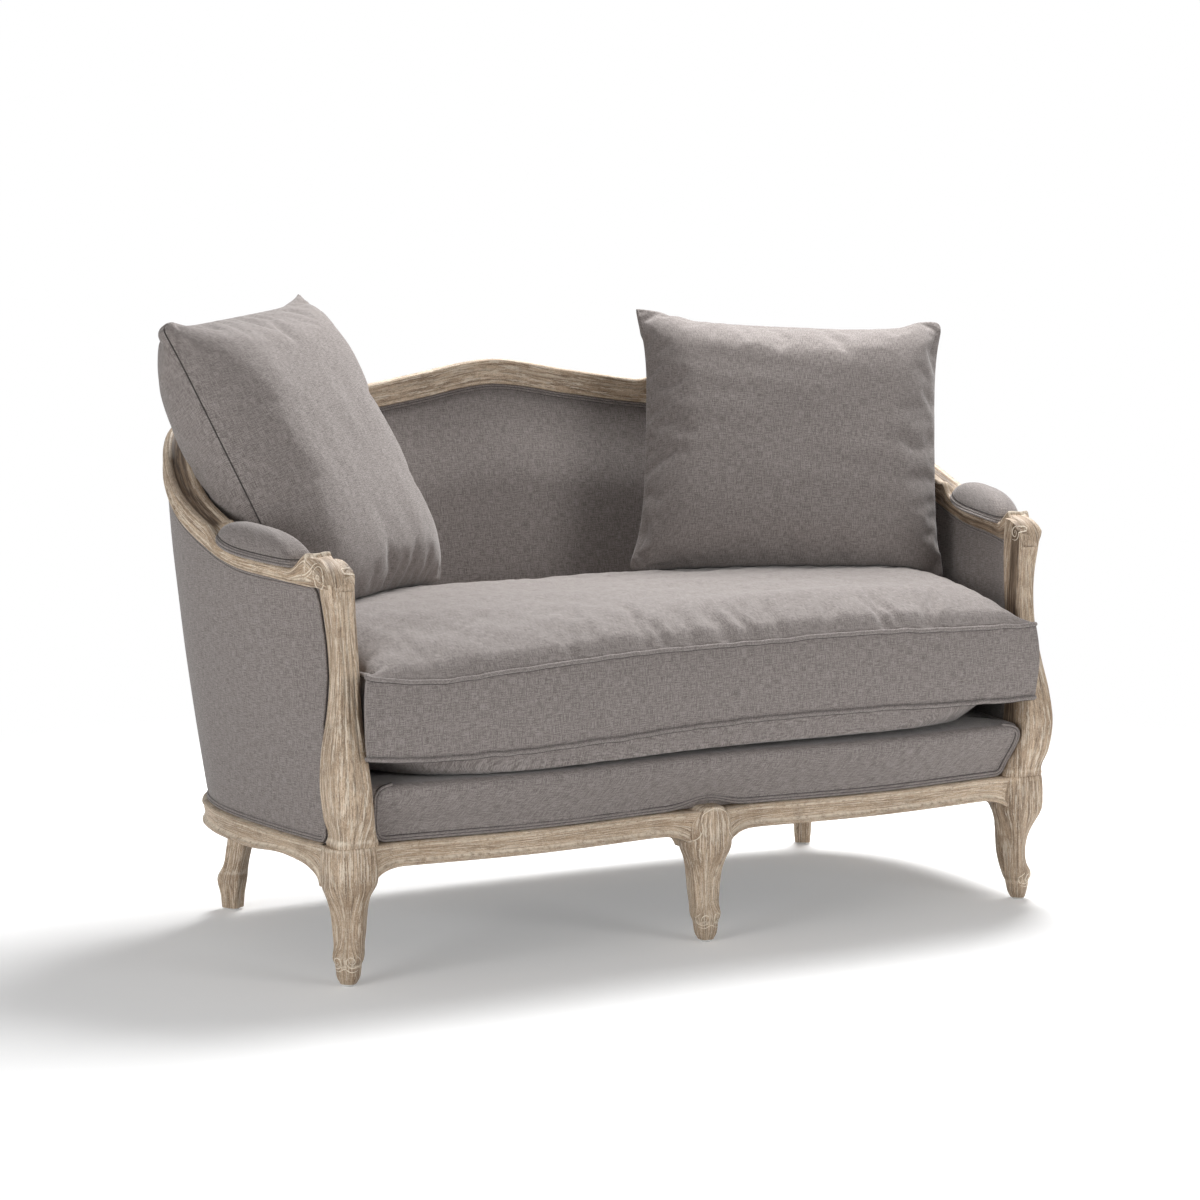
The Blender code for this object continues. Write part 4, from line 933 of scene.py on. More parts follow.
def railTop(name, first, last, along, nose=False):
    look = topRail
    section = dense(look["section"], 3)
    section[-1] = section[0]
    width = look["in"] - look["out"]
    front = sizes["feetLine"] - look["noseFront"]
    lip = sizes["feetLine"] + look["collarBehind"]
    edge = 1 - shares["crest"]

    def place(u, v):
        across, rise, bead, lime = sectionRow(section, u)
        high = np.clip(rise, 0, 1)
        side = smooth((high - 0.25) / 0.5)
        if not nose:
            station = mix(first, last, v)
            plan = wallPlan(station, 1, look["out"] + width * across)
            away = (edge - np.abs(station)) * sizes["topReach"] * 1.8
            shoulder = look["shoulder"] * np.clip(1 - away / look["shoulderReach"], 0, 1) ** 1.5
            z = topUnder(station) + topHeight(station) * high + look["bead"] * bead
            # The crest keeps only a little of that painted shade.
            return np.column_stack([plan, z + shoulder * side]), \
                np.maximum(lime, look["leastLime"])
        nosePart = look["noseShare"]          # straight on over the post
        run = np.sin(np.clip(1 - v / nosePart, 0, 1) * math.pi / 2)
        t = np.clip((v - nosePart) / (1 - nosePart), 0, 1)
        station = mix(first, last, mix(t, t * t, 0.75))
        start = wallPlan(station, 1, 0 * v)[:, 1]
        narrow = look["noseNarrow"] * smooth((lip + 0.03 - start) / 0.03)
        plan = wallPlan(station, 1, look["out"] + (width - narrow) * across)
        corner = np.clip(np.abs(across - 0.5) * 2, 0, 1)
        plan[:, 1] = plan[:, 1] - run * (start - front - look["noseTurn"] * corner ** 3)
        ahead, drop = headTop(plan[:, 1])
        top = topUnder(station) + topHeight(station) - drop
        plain = smooth(ahead * 5)
        plan[:, 0] -= np.sign(station) * look["noseIn"] * plain * (across < 0.5)
        inward = unit(np.array([np.sign(first) * sizes["legX"], sizes["feetLine"]]) - plan)
        tuck = look["tuck"] * (1 - smooth(high / 0.75)) \
            * smooth((lip - plan[:, 1]) / look["settle"])
        plan = plan + inward * tuck[:, None]  # its foot dives into the post
        ramp = np.clip(1 - (plan[:, 1] - lip) / look["collarReach"], 0, 1) ** 1.6
        collar = look["collarRise"] * ramp * (1 - smooth((lip - plan[:, 1]) / 0.005))
        share = 1 - np.abs(station)
        earPlace, earReach = look["earPlace"]
        ear = look["ear"] * bump(share - shares["padEnd"] - earPlace, earReach) \
            * smooth((across - 0.45) / 0.3)
        top = top - look["noseBevel"] * np.maximum(corner - 0.45, 0) ** 2.2 / 0.3 * plain
        top = top + (collar + ear) * side
        under = topUnder(station)
        z = mix(under, np.maximum(top, under + look["least"]), high) \
            + look["bead"] * bead * (1 - plain) * (1 - 0.8 * ramp)
        behind, narrowness = look["lipLine"]
        lines = np.exp(-((plan[:, 1] - lip + behind) / narrowness) ** 2) * side
        channel = smooth((across - 0.2) / 0.1) * smooth((0.75 - across) / 0.1) * (rise > 0.9)
        channel = channel * smooth((share - shares["padEnd"]) / 0.04)
        lime = np.clip(lime * (1 - 0.6 * plain) + lines, -1, 1)
        # Painted shadow in the channel behind the pad; the head over the post darker.
        lime = lime - look["paintedChannelShadow"] * channel - look["headDarkening"] * plain
        return np.column_stack([plan, z]), lime

    return wooden(name, len(section) - 1, along, place, 50)


def topRails():
    edge = 1 - shares["crest"]
    for side, word in ((-1, "left"), (1, "right")):
        front = sizes["feetLine"] + postLook["size"] * 1.125
        first = float(stationBehind(front - 0.012, 1, side))
        railTop(f"{word}_arm_rail", first, side * (edge + sizes["gap"]), topRail["armRings"],
                nose=True)
    railTop("crest_rail", -edge, edge, topRail["crestRings"])


seatRails()
legs()
for word, side in (("left", -1), ("right", 1)):
    armPost(f"{word}_arm_post", side)
topRails()
print("show wood carved")


# Upholstery on the wall

padLook = {
    "armCrown": 0.012, "backCrown": 0.026, "edge": 0.25, "roll": 0.0035, "rollReach": 0.018,
    "rollStart": 0.006, "liftEnd": 0.985, "soft": 0.0012, "sunk": 0.0016,
    "outerReach": 0.13, "outerSoft": 0.0007, "outerEdge": 0.05, "outerTuck": 0.019,
    "armColumns": 110, "backColumns": 130, "rows": 80,
}


def behindPost(side, clearance):              # follows the back of the post up the wall
    def at(level):
        z = mix(sizes["railTop"], sizes["armUnder"], level)
        return stationBehind(postBack(z) + clearance, level, side)
    return at


def panelSpan(side, clearance):               # the stations across a panel; side 0 is the back
    edge = 1 - shares["corner"] - 2 * sizes["gap"]
    if not side:
        return lambda u, v: mix(-edge, edge, u)
    start = behindPost(side, clearance)
    return lambda u, v: mix(start(v), side * (edge + 2 * sizes["gap"]), u)


def wallPanel(name, side, place, flip, thickness):
    piece = patch(name, padLook["armColumns" if side else "backColumns"], padLook["rows"], place,
                  linen, flip=flip)
    finishWith(piece, "SOLIDIFY", thickness=thickness, offset=-1)
    return fit(piece, "frame", [name])


def insidePad(name, side):
    crown = padLook["armCrown"] if side else padLook["backCrown"]
    span = panelSpan(side, sizes["weltProud"])

    def place(u, v):
        station = span(u, v)
        deck = wallLevel(station, sizes["deckTop"])
        sideLift = smooth(u / padLook["edge"]) * smooth((1 - u) / padLook["edge"])
        lift = smooth((v - deck) / padLook["edge"]) \
            * smooth((padLook["liftEnd"] - v) / padLook["edge"])
        depth = sizes["padIn"] + crown * lift * sideLift
        height = topUnder(station) - sizes["railTop"]
        fromTop = (1 - v) * height
        roll = smooth((fromTop - padLook["rollStart"]) / padLook["rollReach"])
        depth = depth - padLook["roll"] + padLook["roll"] * roll
        soft = padLook["soft"] * ripple(station * 1.6, v * 0.7, 5 + side, 0.5) * sideLift * lift
        return wallPoint(station, v, depth + soft)

    return wallPanel(name, side, place, side > 0, 0.006)


def outsideDepth(station, level):             # the panel tucks in behind the post's outer edge
    side = np.where(station < 0, -1, 1)
    z = mix(sizes["railTop"], sizes["armUnder"], level)
    edge = wallPlan(stationBehind(postBack(z) + 0.001, level, side), level, 0)
    gap = np.abs(edge[..., 0]) - (sizes["legX"] + postReach(z, 1)) + 0.002
    away = wallPlan(station, level, 0)[..., 1] - postBack(z)
    tuck = np.clip(gap, 0, padLook["outerTuck"])
    return sizes["panelOut"] + tuck * (1 - smooth(away / padLook["outerReach"]))


def outsidePanel(name, side):
    look = padLook
    span = panelSpan(side, 0.001)

    def place(u, v):
        station = span(u, v)
        away = math.prod(smooth(part / look["outerEdge"]) for part in (u, 1 - u, v, 1 - v))
        wave = ripple(station * 1.6, v * 0.7, 11 + side, 0.4)
        soft = look["sunk"] * away + look["outerSoft"] * wave * away
        depth = outsideDepth(station, v) if side else sizes["panelOut"]
        return wallPoint(station, v, depth - soft)

    return wallPanel(name, side, place, side <= 0, 0.004)


def doubleWelt(name, path, normal):
    # Lines of painted shade beside and between the cords.
    cordShade(f"{name}_groove", path, normal)
    return fit(cordPair(name, path, normal), "frame", [name])


def wallCord(name, corners, depth, inward):
    path = softPath(evenPath(np.concatenate(corners), weltLook["step"]), 3)
    station, level = path[:, 3], path[:, 4]
    points = wallPoint(station, level, depth(station, level) if callable(depth) else depth)
    return doubleWelt(name, points, wallInward(station, level) * (1 if inward else -1))


def wallCorners(stations, levels, depth):     # rows of x, y, z, station, level
    stations, levels = np.broadcast_arrays(np.asarray(stations, float), np.asarray(levels, float))
    return np.column_stack([wallPoint(stations, levels, depth), stations, levels])


def levelStep(station, length):
    return length / (topUnder(np.asarray(station, float)) - sizes["railTop"])


def postRun(side, first, last, clearance, count=60):
    level = np.linspace(first, last, count)
    return behindPost(side, clearance)(level), level


def wallWelts():
    half = sizes["weltWidth"] / 2
    over, under = half * weltLook["over"], half * weltLook["under"]   # the lower, upper rail
    clear = sizes["weltProud"] / 2 + half
    edge = 1 - shares["corner"]
    for word, side in (("left", -1), ("right", 1)):
        upStation, upLevel = postRun(side, levelStep(side, over), 1 - levelStep(side, under),
                                     clear)
        along = np.linspace(side * edge, upStation[0], weltLook["columns"])
        back = np.linspace(upStation[-1], side * edge, weltLook["columns"])
        rows = [wallCorners(along, levelStep(along, over), 0),
                wallCorners(upStation, upLevel, 0)[1:],
                wallCorners(back, 1 - levelStep(back, under), 0)[1:]]
        wallCord(f"{word}_outside_arm_welt", rows, outsideDepth, False)
    side = edge - sizes["weltWidth"] / sizes["topReach"] / 2
    across = np.linspace(-side, side, 200)
    up = np.linspace(0.02, 0.98, 60)
    rows = [wallCorners(across, levelStep(across, half), 0),
            wallCorners(np.full(60, side), up, 0),
            wallCorners(across[::-1], 1 - levelStep(across[::-1], half), 0),
            wallCorners(np.full(60, -side), up[::-1], 0)]
    wallCord("outside_back_welt", rows + [rows[0][:4]], sizes["panelOut"], False)
    start = wallLevel(1.0, sizes["deckTop"] + sizes["weltWidth"])
    high = 1 - levelStep(1.0, under)
    leftStation, leftLevel = postRun(-1, start, high, clear)
    rightStation, rightLevel = postRun(1, high, start, clear)
    across = np.linspace(leftStation[-1], rightStation[0], weltLook["crestColumns"])
    rows = [wallCorners(leftStation, leftLevel, sizes["padIn"]),
            wallCorners(across, 1 - levelStep(across, under), sizes["padIn"])[1:],
            wallCorners(rightStation, rightLevel, sizes["padIn"])[1:]]
    wallCord("inside_wall_welt", rows, sizes["padIn"] - 0.001, True)


insidePad("inside_back", 0)
outsidePanel("outside_back", 0)
for word, side in (("left", -1), ("right", 1)):
    insidePad(f"{word}_inside_arm", side)
    outsidePanel(f"{word}_outside_arm", side)
wallWelts()
print("wall upholstered")


# Deck with its front border

deckLook = {
    "base": 0.2361, "setback": 0.002, "slack": 0.0015, "edge": 0.012, "peak": 0.013,
    "peakReach": 0.075, "foot": 0.2441, "lean": 0.032, "bulge": 0.004, "soft": 0.0006,
    "frontPart": 0.4, "upright": 0.6, "topStart": 0.85, "inset": 0.08, "flatEnds": 0.66,
    "columns": 300, "rows": 30,
    # how the border's welt turns over the top corners: inward, up
    "turnOver": ((0.034, 0.0105), (0.022, 0.0095), (0.011, 0.0065), (0.003, 0.0030)),
}


def deckSide(z):
    return sizes["legX"] - postReach(z, 2)


def borderFace(x, z):                         # the front border leans out and swells a little
    look = deckLook
    top = sizes["deckTop"] - look["edge"]
    lean = look["lean"] * smooth((z - look["foot"]) / (top - look["foot"]))
    swell = look["bulge"] * np.sin(math.pi * np.clip((z - look["base"]) / (top - look["base"]),
                                                     0, 1))
    swell = swell * (1 - (np.abs(x) / look["flatEnds"]) ** 6)
    return frontFace(x) + look["setback"] - lean - swell


def deck():
    look = deckLook
    low, high = look["base"], sizes["deckTop"] - look["edge"]

    def plan(t, z, inset):                    # t runs along the front, then round the wall
        part = look["frontPart"]
        x = np.where(t < part, mix(-1, 1, np.clip(t / part, 0, 1)), 0) \
            * (deckSide(z) + look["soft"])
        frontY = borderFace(x, z) + inset + look["soft"] * ripple(x, z * 2, 71, 0.2)
        run = np.clip((t - part) / (1 - part), 0, 1)
        station = mix(1 - shares["square"], shares["square"] - 1, run)
        back = wallPlan(station, wallLevel(station, z), sizes["padIn"] + look["slack"] + inset)
        return np.where((t < part)[:, None], np.column_stack([x, frontY]), back)

    def place(u, v):                          # the upright faces, the rounded edge, the top
        turn, flat = look["upright"], look["topStart"]
        up = np.clip(v / turn, 0, 1)
        over = np.clip((v - turn) / (flat - turn), 0, 1)
        inner = np.clip((v - flat) / (1 - flat), 0, 1)
        z = mix(low, high, up) + look["edge"] * np.sin(over * math.pi / 2)
        inset = look["edge"] * (1 - np.cos(over * math.pi / 2)) + look["inset"] * inner
        return np.column_stack([plan(u % 1.0, z, inset), z])

    piece = patch("seat_deck", look["columns"], look["rows"], place, linen, closed=True,
                  capped=True)
    return fit(piece, "frame", ["seat_deck"])


def borderCord():
    half = sizes["weltWidth"] / 2
    low = deckLook["base"] + half * 0.9
    top = sizes["deckTop"] - deckLook["edge"]
    down = np.linspace(top, low, 40)
    ends = deckSide(down) - 0.0015 - half
    across = np.linspace(-ends[-1], ends[-1], 300)[1:-1]
    peak = deckLook["peak"] * bump(across, deckLook["peakReach"])
    over = np.array(deckLook["turnOver"])
    start = np.column_stack([over[:, 0] - ends[0], top + over[:, 1]])
    rows = [start, np.column_stack([-ends, down]), np.column_stack([across, low + peak]),
            np.column_stack([ends[::-1], down[::-1]]), start[::-1] * (-1, 1)]
    flat = np.concatenate(rows)
    turnedBack = np.clip((flat[:, 1] - top) / deckLook["edge"], 0, 1)
    y = borderFace(flat[:, 0], flat[:, 1]) + deckLook["edge"] * turnedBack ** 2
    path = softPath(evenPath(np.column_stack([flat[:, 0], y, flat[:, 1]]), weltLook["step"]), 3)
    step = 0.004
    slope = (frontFace(path[:, 0] + step) - frontFace(path[:, 0] - step)) / (2 * step)
    normal = unit(np.column_stack([slope, -np.ones(len(path)), np.zeros(len(path))]))
    return doubleWelt("front_border_welt", path, normal)


deck()
borderCord()
print("deck covered")


# Arm pads

armPadLook = {
    "rise": 0.050, "side": 0.0065, "behind": 1.12, "ahead": 1.03, "seat": 0.0025,
    "rearPower": 2.9, "frontPower": 4.0, "narrow": 0.99, "skirt": 0.12, "skirtDrop": 0.007,
    "foot": 0.009, "domeStart": 2.3, "domeEnd": 0.72, "weltRise": 0.0030, "seamRise": 0.0112,
    "seamIn": 0.992, "seam": 0.0011, "step": 0.003, "around": 120, "rings": 60, "rimPoints": 200,
}


def padRim(angle):                            # the pad's plan, blunter in front
    power = np.where(np.cos(angle) > 0, armPadLook["rearPower"], armPadLook["frontPower"])
    return (np.abs(np.cos(angle)) ** power + np.abs(np.sin(angle)) ** power) ** (-1 / power)


def armPad(word, side):
    look = armPadLook
    blend = shares["padBlend"] / 2
    start, end = shares["padStart"] + blend, shares["padEnd"] - blend
    middle = (topRail["out"] + topRail["in"]) / 2
    halfWidth = middle - topRail["out"] + look["side"]

    def spot(along, across, rise):            # along and across run from -1 to 1
        along = along * np.where(along > 0, look["behind"], look["ahead"])
        station = side * (1 - mix(start, end, (along + 1) / 2))
        seat = topUnder(station) + topRail["scoop"] + look["seat"]
        plan = wallPlan(station, 1, middle + halfWidth * across)
        return np.column_stack([plan, seat + rise])

    def place(u, v):                          # rings from the rim to the crown
        angle = 2 * math.pi * u
        skirt = look["skirt"]
        radius = np.where(v < skirt, 1.0, (1 - v) / (1 - skirt)) * padRim(angle)
        inward = np.clip((v - skirt) / (1 - skirt), 0, 1)
        dome = (1 - (1 - inward) ** look["domeStart"]) ** look["domeEnd"]
        rise = look["foot"] + (look["rise"] - 0.008) * dome \
            - look["skirtDrop"] * (1 - smooth(v / skirt))
        return spot(radius * np.cos(angle), radius * np.sin(angle) * look["narrow"], rise)

    pad = patch(f"{word}_arm_pad", look["around"], look["rings"], place, linen, closed=True,
                capped=True)
    fit(pad, "frame", [f"{word}_arm_pad"])

    def ring(radius, rise):
        angle = np.linspace(0, 2 * math.pi, look["rimPoints"])
        reach = radius * padRim(angle)
        return evenPath(spot(reach * np.cos(angle), reach * np.sin(angle) * look["narrow"],
                             np.full(len(angle), rise)), look["step"])

    outer = ring(1.0, look["weltRise"])
    normal = unit((outer - outer.mean(axis=0)) * (1, 1, 0) + (0, 0, 0.02))
    fit(cordPair(f"{word}_arm_pad_welt", outer, normal), "frame")
    inner = ring(look["seamIn"], look["seamRise"])
    # The seam drawn as a thin line of painted shade.
    fit(tube(f"{word}_arm_pad_seam", inner, look["seam"], 6, seamDark), "frame")


for word, side in (("left", -1), ("right", 1)):
    armPad(word, side)
print("arm pads set")


# Seat cushion

cushionLook = {
    "bottomSeam": 0.367, "topSeam": 0.503, "crown": 0.084, "halfWidth": 0.642, "lip": 0.051,
    # how the lower and the upper seam rise and sag along the front
    "seamRows": (((-0.68, 0.019), (-0.60, 0.010), (-0.50, 0.007), (-0.23, 0.013), (-0.03, 0.021),
                  (0.27, 0.025), (0.55, 0.017), (0.68, 0.016)),
                 ((-0.68, 0.019), (-0.61, 0.004), (-0.54, -0.001), (-0.41, 0.007), (-0.18, 0.019),
                  (0.07, 0.021), (0.27, 0.025), (0.55, 0.015), (0.68, 0.013))),
    "restSeam": 0.010, "frontBlend": 0.12, "middle": (0.0, -0.06), "slack": 0.0015,
    "bow": 0.012, "ear": 0.020, "earDepth": 0.006, "notch": 0.0125, "backStation": 0.40,
    # the crown's shape: power and root across, power and root along
    "dome": (16, 0.55, 2.7, 0.66), "roll": 0.07, "rollRoot": 0.7, "bandSwell": 0.0065,
    "depth": 0.365, "puckerReach": 0.10, "puckerStart": 0.012, "pleatStart": 0.006,
    "sideReach": 0.07, "sideStart": 0.01, "dragReach": 0.45, "dragSide": (0.25, 0.8),
    "dragLean": 0.9,
    # pleats at the front seam: how many, where, lean, length, width and depth over width
    "pleats": (24, (-0.56, 0.48), (-0.5, 0.5), (0.05, 0.16), (0.007, 0.013), (0.18, 0.55)),
    # soft waves: height, stretch in x and y, seed, longest wave, how many
    "waves": {"seam": (0.0013, 1, 1, 22, 0.11, 7), "edge": (0.0016, 1, 1, 31, 0.16, 7),
              "upperEdge": (0.0016, 1, 1, 32, 0.16, 7), "pucker": (0.0012, 1, 0.12, 41, 0.085, 9),
              "sides": (0.0024, 0.15, 1, 43, 0.08, 7), "wide": (0.0028, 1, 1.4, 42, 0.34, 7),
              "drag": (0.0026, 1, 0.12, 44, 0.14, 6), "band": (0.0024, 1, 1, 51, 0.2, 7)},
    # the last is the radius of the painted shadow line under each cord
    "cord": 0.0038, "cordOut": 0.0032, "cordSides": 12, "cordShadow": 0.0011,
    "columns": 250, "rows": 100, "band": 12, "crowding": 0.75,
}


def plainRow(points, at):                     # a place along a polyline, 0 to 1
    run = np.concatenate([[0], np.cumsum(np.linalg.norm(np.diff(points, axis=0), axis=1))])
    return np.stack([np.interp(at * run[-1], run, points[:, k]) for k in range(2)], axis=1)


def cushionEdges():
    look = cushionLook
    ear = look["halfWidth"] + look["ear"]
    x = np.linspace(-ear, ear, 121)
    edge = sizes["feetLine"] - seatRail["frontSetback"] - look["lip"]
    front = np.column_stack([x, edge - look["bow"] * np.sin(math.pi * np.abs(x)
                                                            / sizes["legX"]) ** 2])
    earBack = front[-1, 1] + look["earDepth"]
    side = [front[-1], (ear, earBack), (look["halfWidth"], earBack + look["notch"]),
            (look["halfWidth"], postBack(look["bottomSeam"]) + sizes["weltWidth"])]
    stations = np.linspace(1 - 2 * shares["square"], look["backStation"], 60)
    level = wallLevel(stations, look["bottomSeam"])
    crown = mix(padLook["armCrown"], padLook["backCrown"],
                smooth((1 - shares["corner"] - stations) / 0.1 + 0.5))
    wall = wallPlan(stations, level, sizes["padIn"] + crown + look["slack"])
    right = np.concatenate([np.array(side), wall])
    stations = np.linspace(look["backStation"], -look["backStation"], 121)
    level = wallLevel(stations, look["bottomSeam"])
    back = wallPlan(stations, level, sizes["padIn"] + padLook["backCrown"] + look["slack"])
    return front, right, back[::-1]


def cushionPlan():                            # Coons patch between the four edges
    front, right, back = cushionEdges()
    left = right * (-1, 1)

    def at(a, b):
        s, t = (a + 1) / 2, (b + 1) / 2
        low, high = plainRow(front, s), plainRow(back, s)
        near, far = plainRow(left, t), plainRow(right, t)
        s, t = s[:, None], t[:, None]
        corners = ((1 - s) * (1 - t) * front[0] + s * (1 - t) * front[-1]
                   + (1 - s) * t * back[0] + s * t * back[-1])
        return (1 - t) * low + t * high + (1 - s) * near + s * far - corners
    return at


def waves(kind, x, y):
    height, alongX, alongY, seed, longest, count = cushionLook["waves"][kind]
    return height * ripple(x * alongX, y * alongY, seed, longest, count)


def seamHeight(x, y, seam):                   # how the seams rise, sag and wave
    look = cushionLook
    front = readCurve(look["seamRows"][seam], x, 1)
    rise = mix(look["restSeam"], front, smooth((-0.25 - y) / look["frontBlend"]))
    return look["topSeam" if seam else "bottomSeam"] + waves("seam", x + 3 * seam, y) + rise


def edgeOut(x, y, seam):
    return waves("upperEdge" if seam else "edge", x, y)


def pleats(x, back):                          # short folds that the front seam draws in
    count, places, leans, lengths, widths, depths = cushionLook["pleats"]
    dice = np.random.default_rng(47)
    total = 0
    for _ in range(count):
        at, lean = dice.uniform(*places), dice.uniform(*leans)
        length, width = dice.uniform(*lengths), dice.uniform(*widths)
        depth = dice.uniform(*depths) * width
        off = (x - at - lean * back - back ** 2 * 2.5) / width
        fold = 0.55 * np.exp(-(off - 1.7) ** 2) - np.exp(-off ** 2)
        total = total + depth * fold * np.exp(-((back - 0.4 * length) / (0.6 * length)) ** 2)
    return total


def cushionTop(a, b, x, y):                   # the crown with its folds; b is -1 in front
    look = cushionLook
    rim = np.maximum(np.abs(a), np.abs(b))
    acrossPower, acrossRoot, alongPower, alongRoot = look["dome"]
    dome = (1 - np.abs(a) ** acrossPower) ** acrossRoot \
        * (1 - np.abs(b) ** alongPower) ** alongRoot
    front = np.clip(1 + b, 0, None)
    pucker = np.exp(-(front / look["puckerReach"]) ** 1.2) \
        * (1 - np.exp(-front / look["puckerStart"]))
    folds = pucker * waves("pucker", x, y)
    drawn = pleats(x, front * look["depth"])
    folds = folds + drawn * (1 - np.exp(-front / look["pleatStart"]))
    fromSide = 1 - np.abs(a)
    sides = np.exp(-fromSide / look["sideReach"]) * (1 - np.exp(-fromSide / look["sideStart"]))
    folds = folds + sides * waves("sides", x, y)
    wide = waves("wide", x, y) * (1 - rim ** 6)
    drag = waves("drag", x + y * look["dragLean"], y - x) \
        * np.exp(-(front / look["dragReach"]) ** 2) * (1 - rim ** 8)
    dragEnd, dragBlend = look["dragSide"]
    drag = drag * smooth((dragEnd - a) / dragBlend)
    return seamHeight(x, y, 1) + look["crown"] * dome + folds + wide + drag


def cushionBottom(inner, x, y):               # flat on the deck, rolled up to the lower seam
    look = cushionLook
    rest = sizes["deckTop"] + sizes["gap"]
    rolled = np.clip((1 - inner) / look["roll"], 0, 1) ** look["rollRoot"]
    lower = mix(look["bottomSeam"], rest, rolled)
    return lower + (seamHeight(x, y, 0) - look["bottomSeam"]) * inner ** 8


def seatCushion():
    look = cushionLook
    plan = cushionPlan()
    middle = np.array(look["middle"])

    def spot(a, b, c):
        point = plan(a, b)
        x, y = point.T
        inner = np.minimum((np.abs(a) ** 5 + np.abs(b) ** 5) ** (1 / 5), 1)
        band = mix(seamHeight(x, y, 0), seamHeight(x, y, 1), c)
        swell = look["bandSwell"] * np.sin(math.pi * c) ** 0.8 \
            + mix(edgeOut(x, y, 0), edgeOut(x, y, 1), c)
        swell = swell + np.sin(math.pi * c) * waves("band", x * 1.5, y * 1.5 + c * 0.1)
        onBand = np.maximum(np.abs(a), np.abs(b)) > 0.99999
        swell = np.where(onBand, swell, mix(0, edgeOut(x, y, 1), inner ** 12))
        z = np.where(c > 0.9999, cushionTop(a, b, x, y),
                     np.where(c < 0.0001, cushionBottom(inner, x, y), band))
        return np.column_stack([point + unit(point - middle) * swell[:, None], z])

    bm = gridPair(look["columns"], look["rows"])
    walls = [edge for edge in bm.edges if abs(edge.verts[0].co.z - edge.verts[1].co.z) > 0.5]
    bmesh.ops.subdivide_edges(bm, edges=walls, cuts=look["band"] - 1, use_grid_fill=True)
    flat = np.array([vert.co for vert in bm.verts])
    a, b, c = flat.T
    points = spot(crowded(a, look["crowding"]), crowded(b, look["crowding"]), c)
    uvLayer = bm.loops.layers.uv.new("cloth")
    bm.verts.index_update()
    for vert, point in zip(bm.verts, points):
        vert.co = point
    bm.normal_update()
    for face in bm.faces:
        upright = abs(face.normal.z) < 0.4
        frontal = abs(face.normal.y) > abs(face.normal.x)
        for loop in face.loops:
            p = loop.vert.co
            loop[uvLayer].uv = ((p.x if frontal else p.y, p.z) if upright
                                else (p.x, p.y + p.z * 0.8))
    bmesh.ops.recalc_face_normals(bm, faces=bm.faces)
    piece = newPiece("seat_cushion_cover", bm, linen)
    fit(piece, "seat_cushion", ["seat_cushion"])

    turn = np.linspace(0, 4, 1401)
    quarter = np.floor(turn) % 4
    part = turn % 1 * 2 - 1
    a = np.select([quarter == 0, quarter == 1, quarter == 2], [part, 1, -part], -1.0)
    b = np.select([quarter == 0, quarter == 1, quarter == 2], [-1.0, part, 1.0], -part)
    base = plan(a, b)
    x, y = base.T
    for seam, word in ((1, "upper"), (0, "lower")):
        out = (edgeOut(x, y, seam) + look["cordOut"])[:, None]
        line = np.column_stack([base + unit(base - middle) * out, seamHeight(x, y, seam)])
        path = softPath(evenPath(line, weltLook["step"]), 2)
        cord = tube(f"cushion_{word}_welt", path, look["cord"], look["cordSides"], linen)
        fit(cord, "seat_cushion")
        # A thin line of painted shadow under each cord.
        cordShadow = tube(f"cushion_{word}_cord_shadow", path - (0, 0, look["cord"]), look["cordShadow"], 6,
                      seamDark)
        fit(cordShadow, "seat_cushion")


seatCushion()
print("seat cushion filled")


# Pillows

pillowLook = {
    "seamStep": 0.005, "seamRadius": 0.0013, "reach": 0.05, "push": 0.03,
    "size": 0.610, "thickness": 0.165, "cells": 64, "frames": 24, "cap": 0.014, "swell": 0.55,
    "crowding": 0.6, "seamHalf": 0.0015, "folds": (0.0016, 0.0005), "clear": 0.0012,
    "cloth": {"quality": 6, "mass": 0.25, "tension_stiffness": 30, "compression_stiffness": 30,
              "shear_stiffness": 8, "bending_stiffness": 0.25, "air_damping": 5,
              "shrink_min": -0.035, "vertex_group_mass": "seam", "use_pressure": True,
              "uniform_pressure_force": 3.0},
    # pull of the left, right, lower and upper side, then fullness behind and in front, then
    # how late the sides turn out to the corners, and how blunt each corner is
    "left": {"middle": (-0.673, 0.590, 0.898), "fit": (0.865, 0.985), "angles": (37, 27, 4),
             "pull": (0.012, 0.014, 0.004, 0.030), "full": (1.50, 1.04), "ears": 7.0,
             "blunt": (0.014, 0.012, 0.024, 0.010), "seam": 0.97},
    "right": {"middle": (0.609, 0.571, 0.878), "fit": (1.000, 0.900), "angles": (-26, 25, -3),
              "pull": (0.034, 0.022, 0.004, 0.034), "full": (1.0, 1.06), "ears": 4.0,
              "blunt": (0.012, 0.012, 0.010, 0.014)},
}


def inflate(piece, rim):                      # the rim is sewn, so it stays
    seam = piece.vertex_groups.new(name="seam")
    seam.add([int(i) for i in np.flatnonzero(rim)], 1.0, "REPLACE")
    cloth = piece.modifiers.new("Filling", "CLOTH")
    for key, value in pillowLook["cloth"].items():
        setattr(cloth.settings, key, value)
    cloth.settings.effector_weights.gravity = 0
    frames = pillowLook["frames"]
    cloth.point_cache.frame_start, cloth.point_cache.frame_end = 1, frames
    scene = bpy.context.scene
    for frameNumber in range(1, frames + 1):
        scene.frame_set(frameNumber)
    shape = piece.evaluated_get(bpy.context.evaluated_depsgraph_get())
    points = np.array([vert.co for vert in shape.data.vertices])
    piece.modifiers.remove(cloth)
    scene.frame_set(1)
    return points


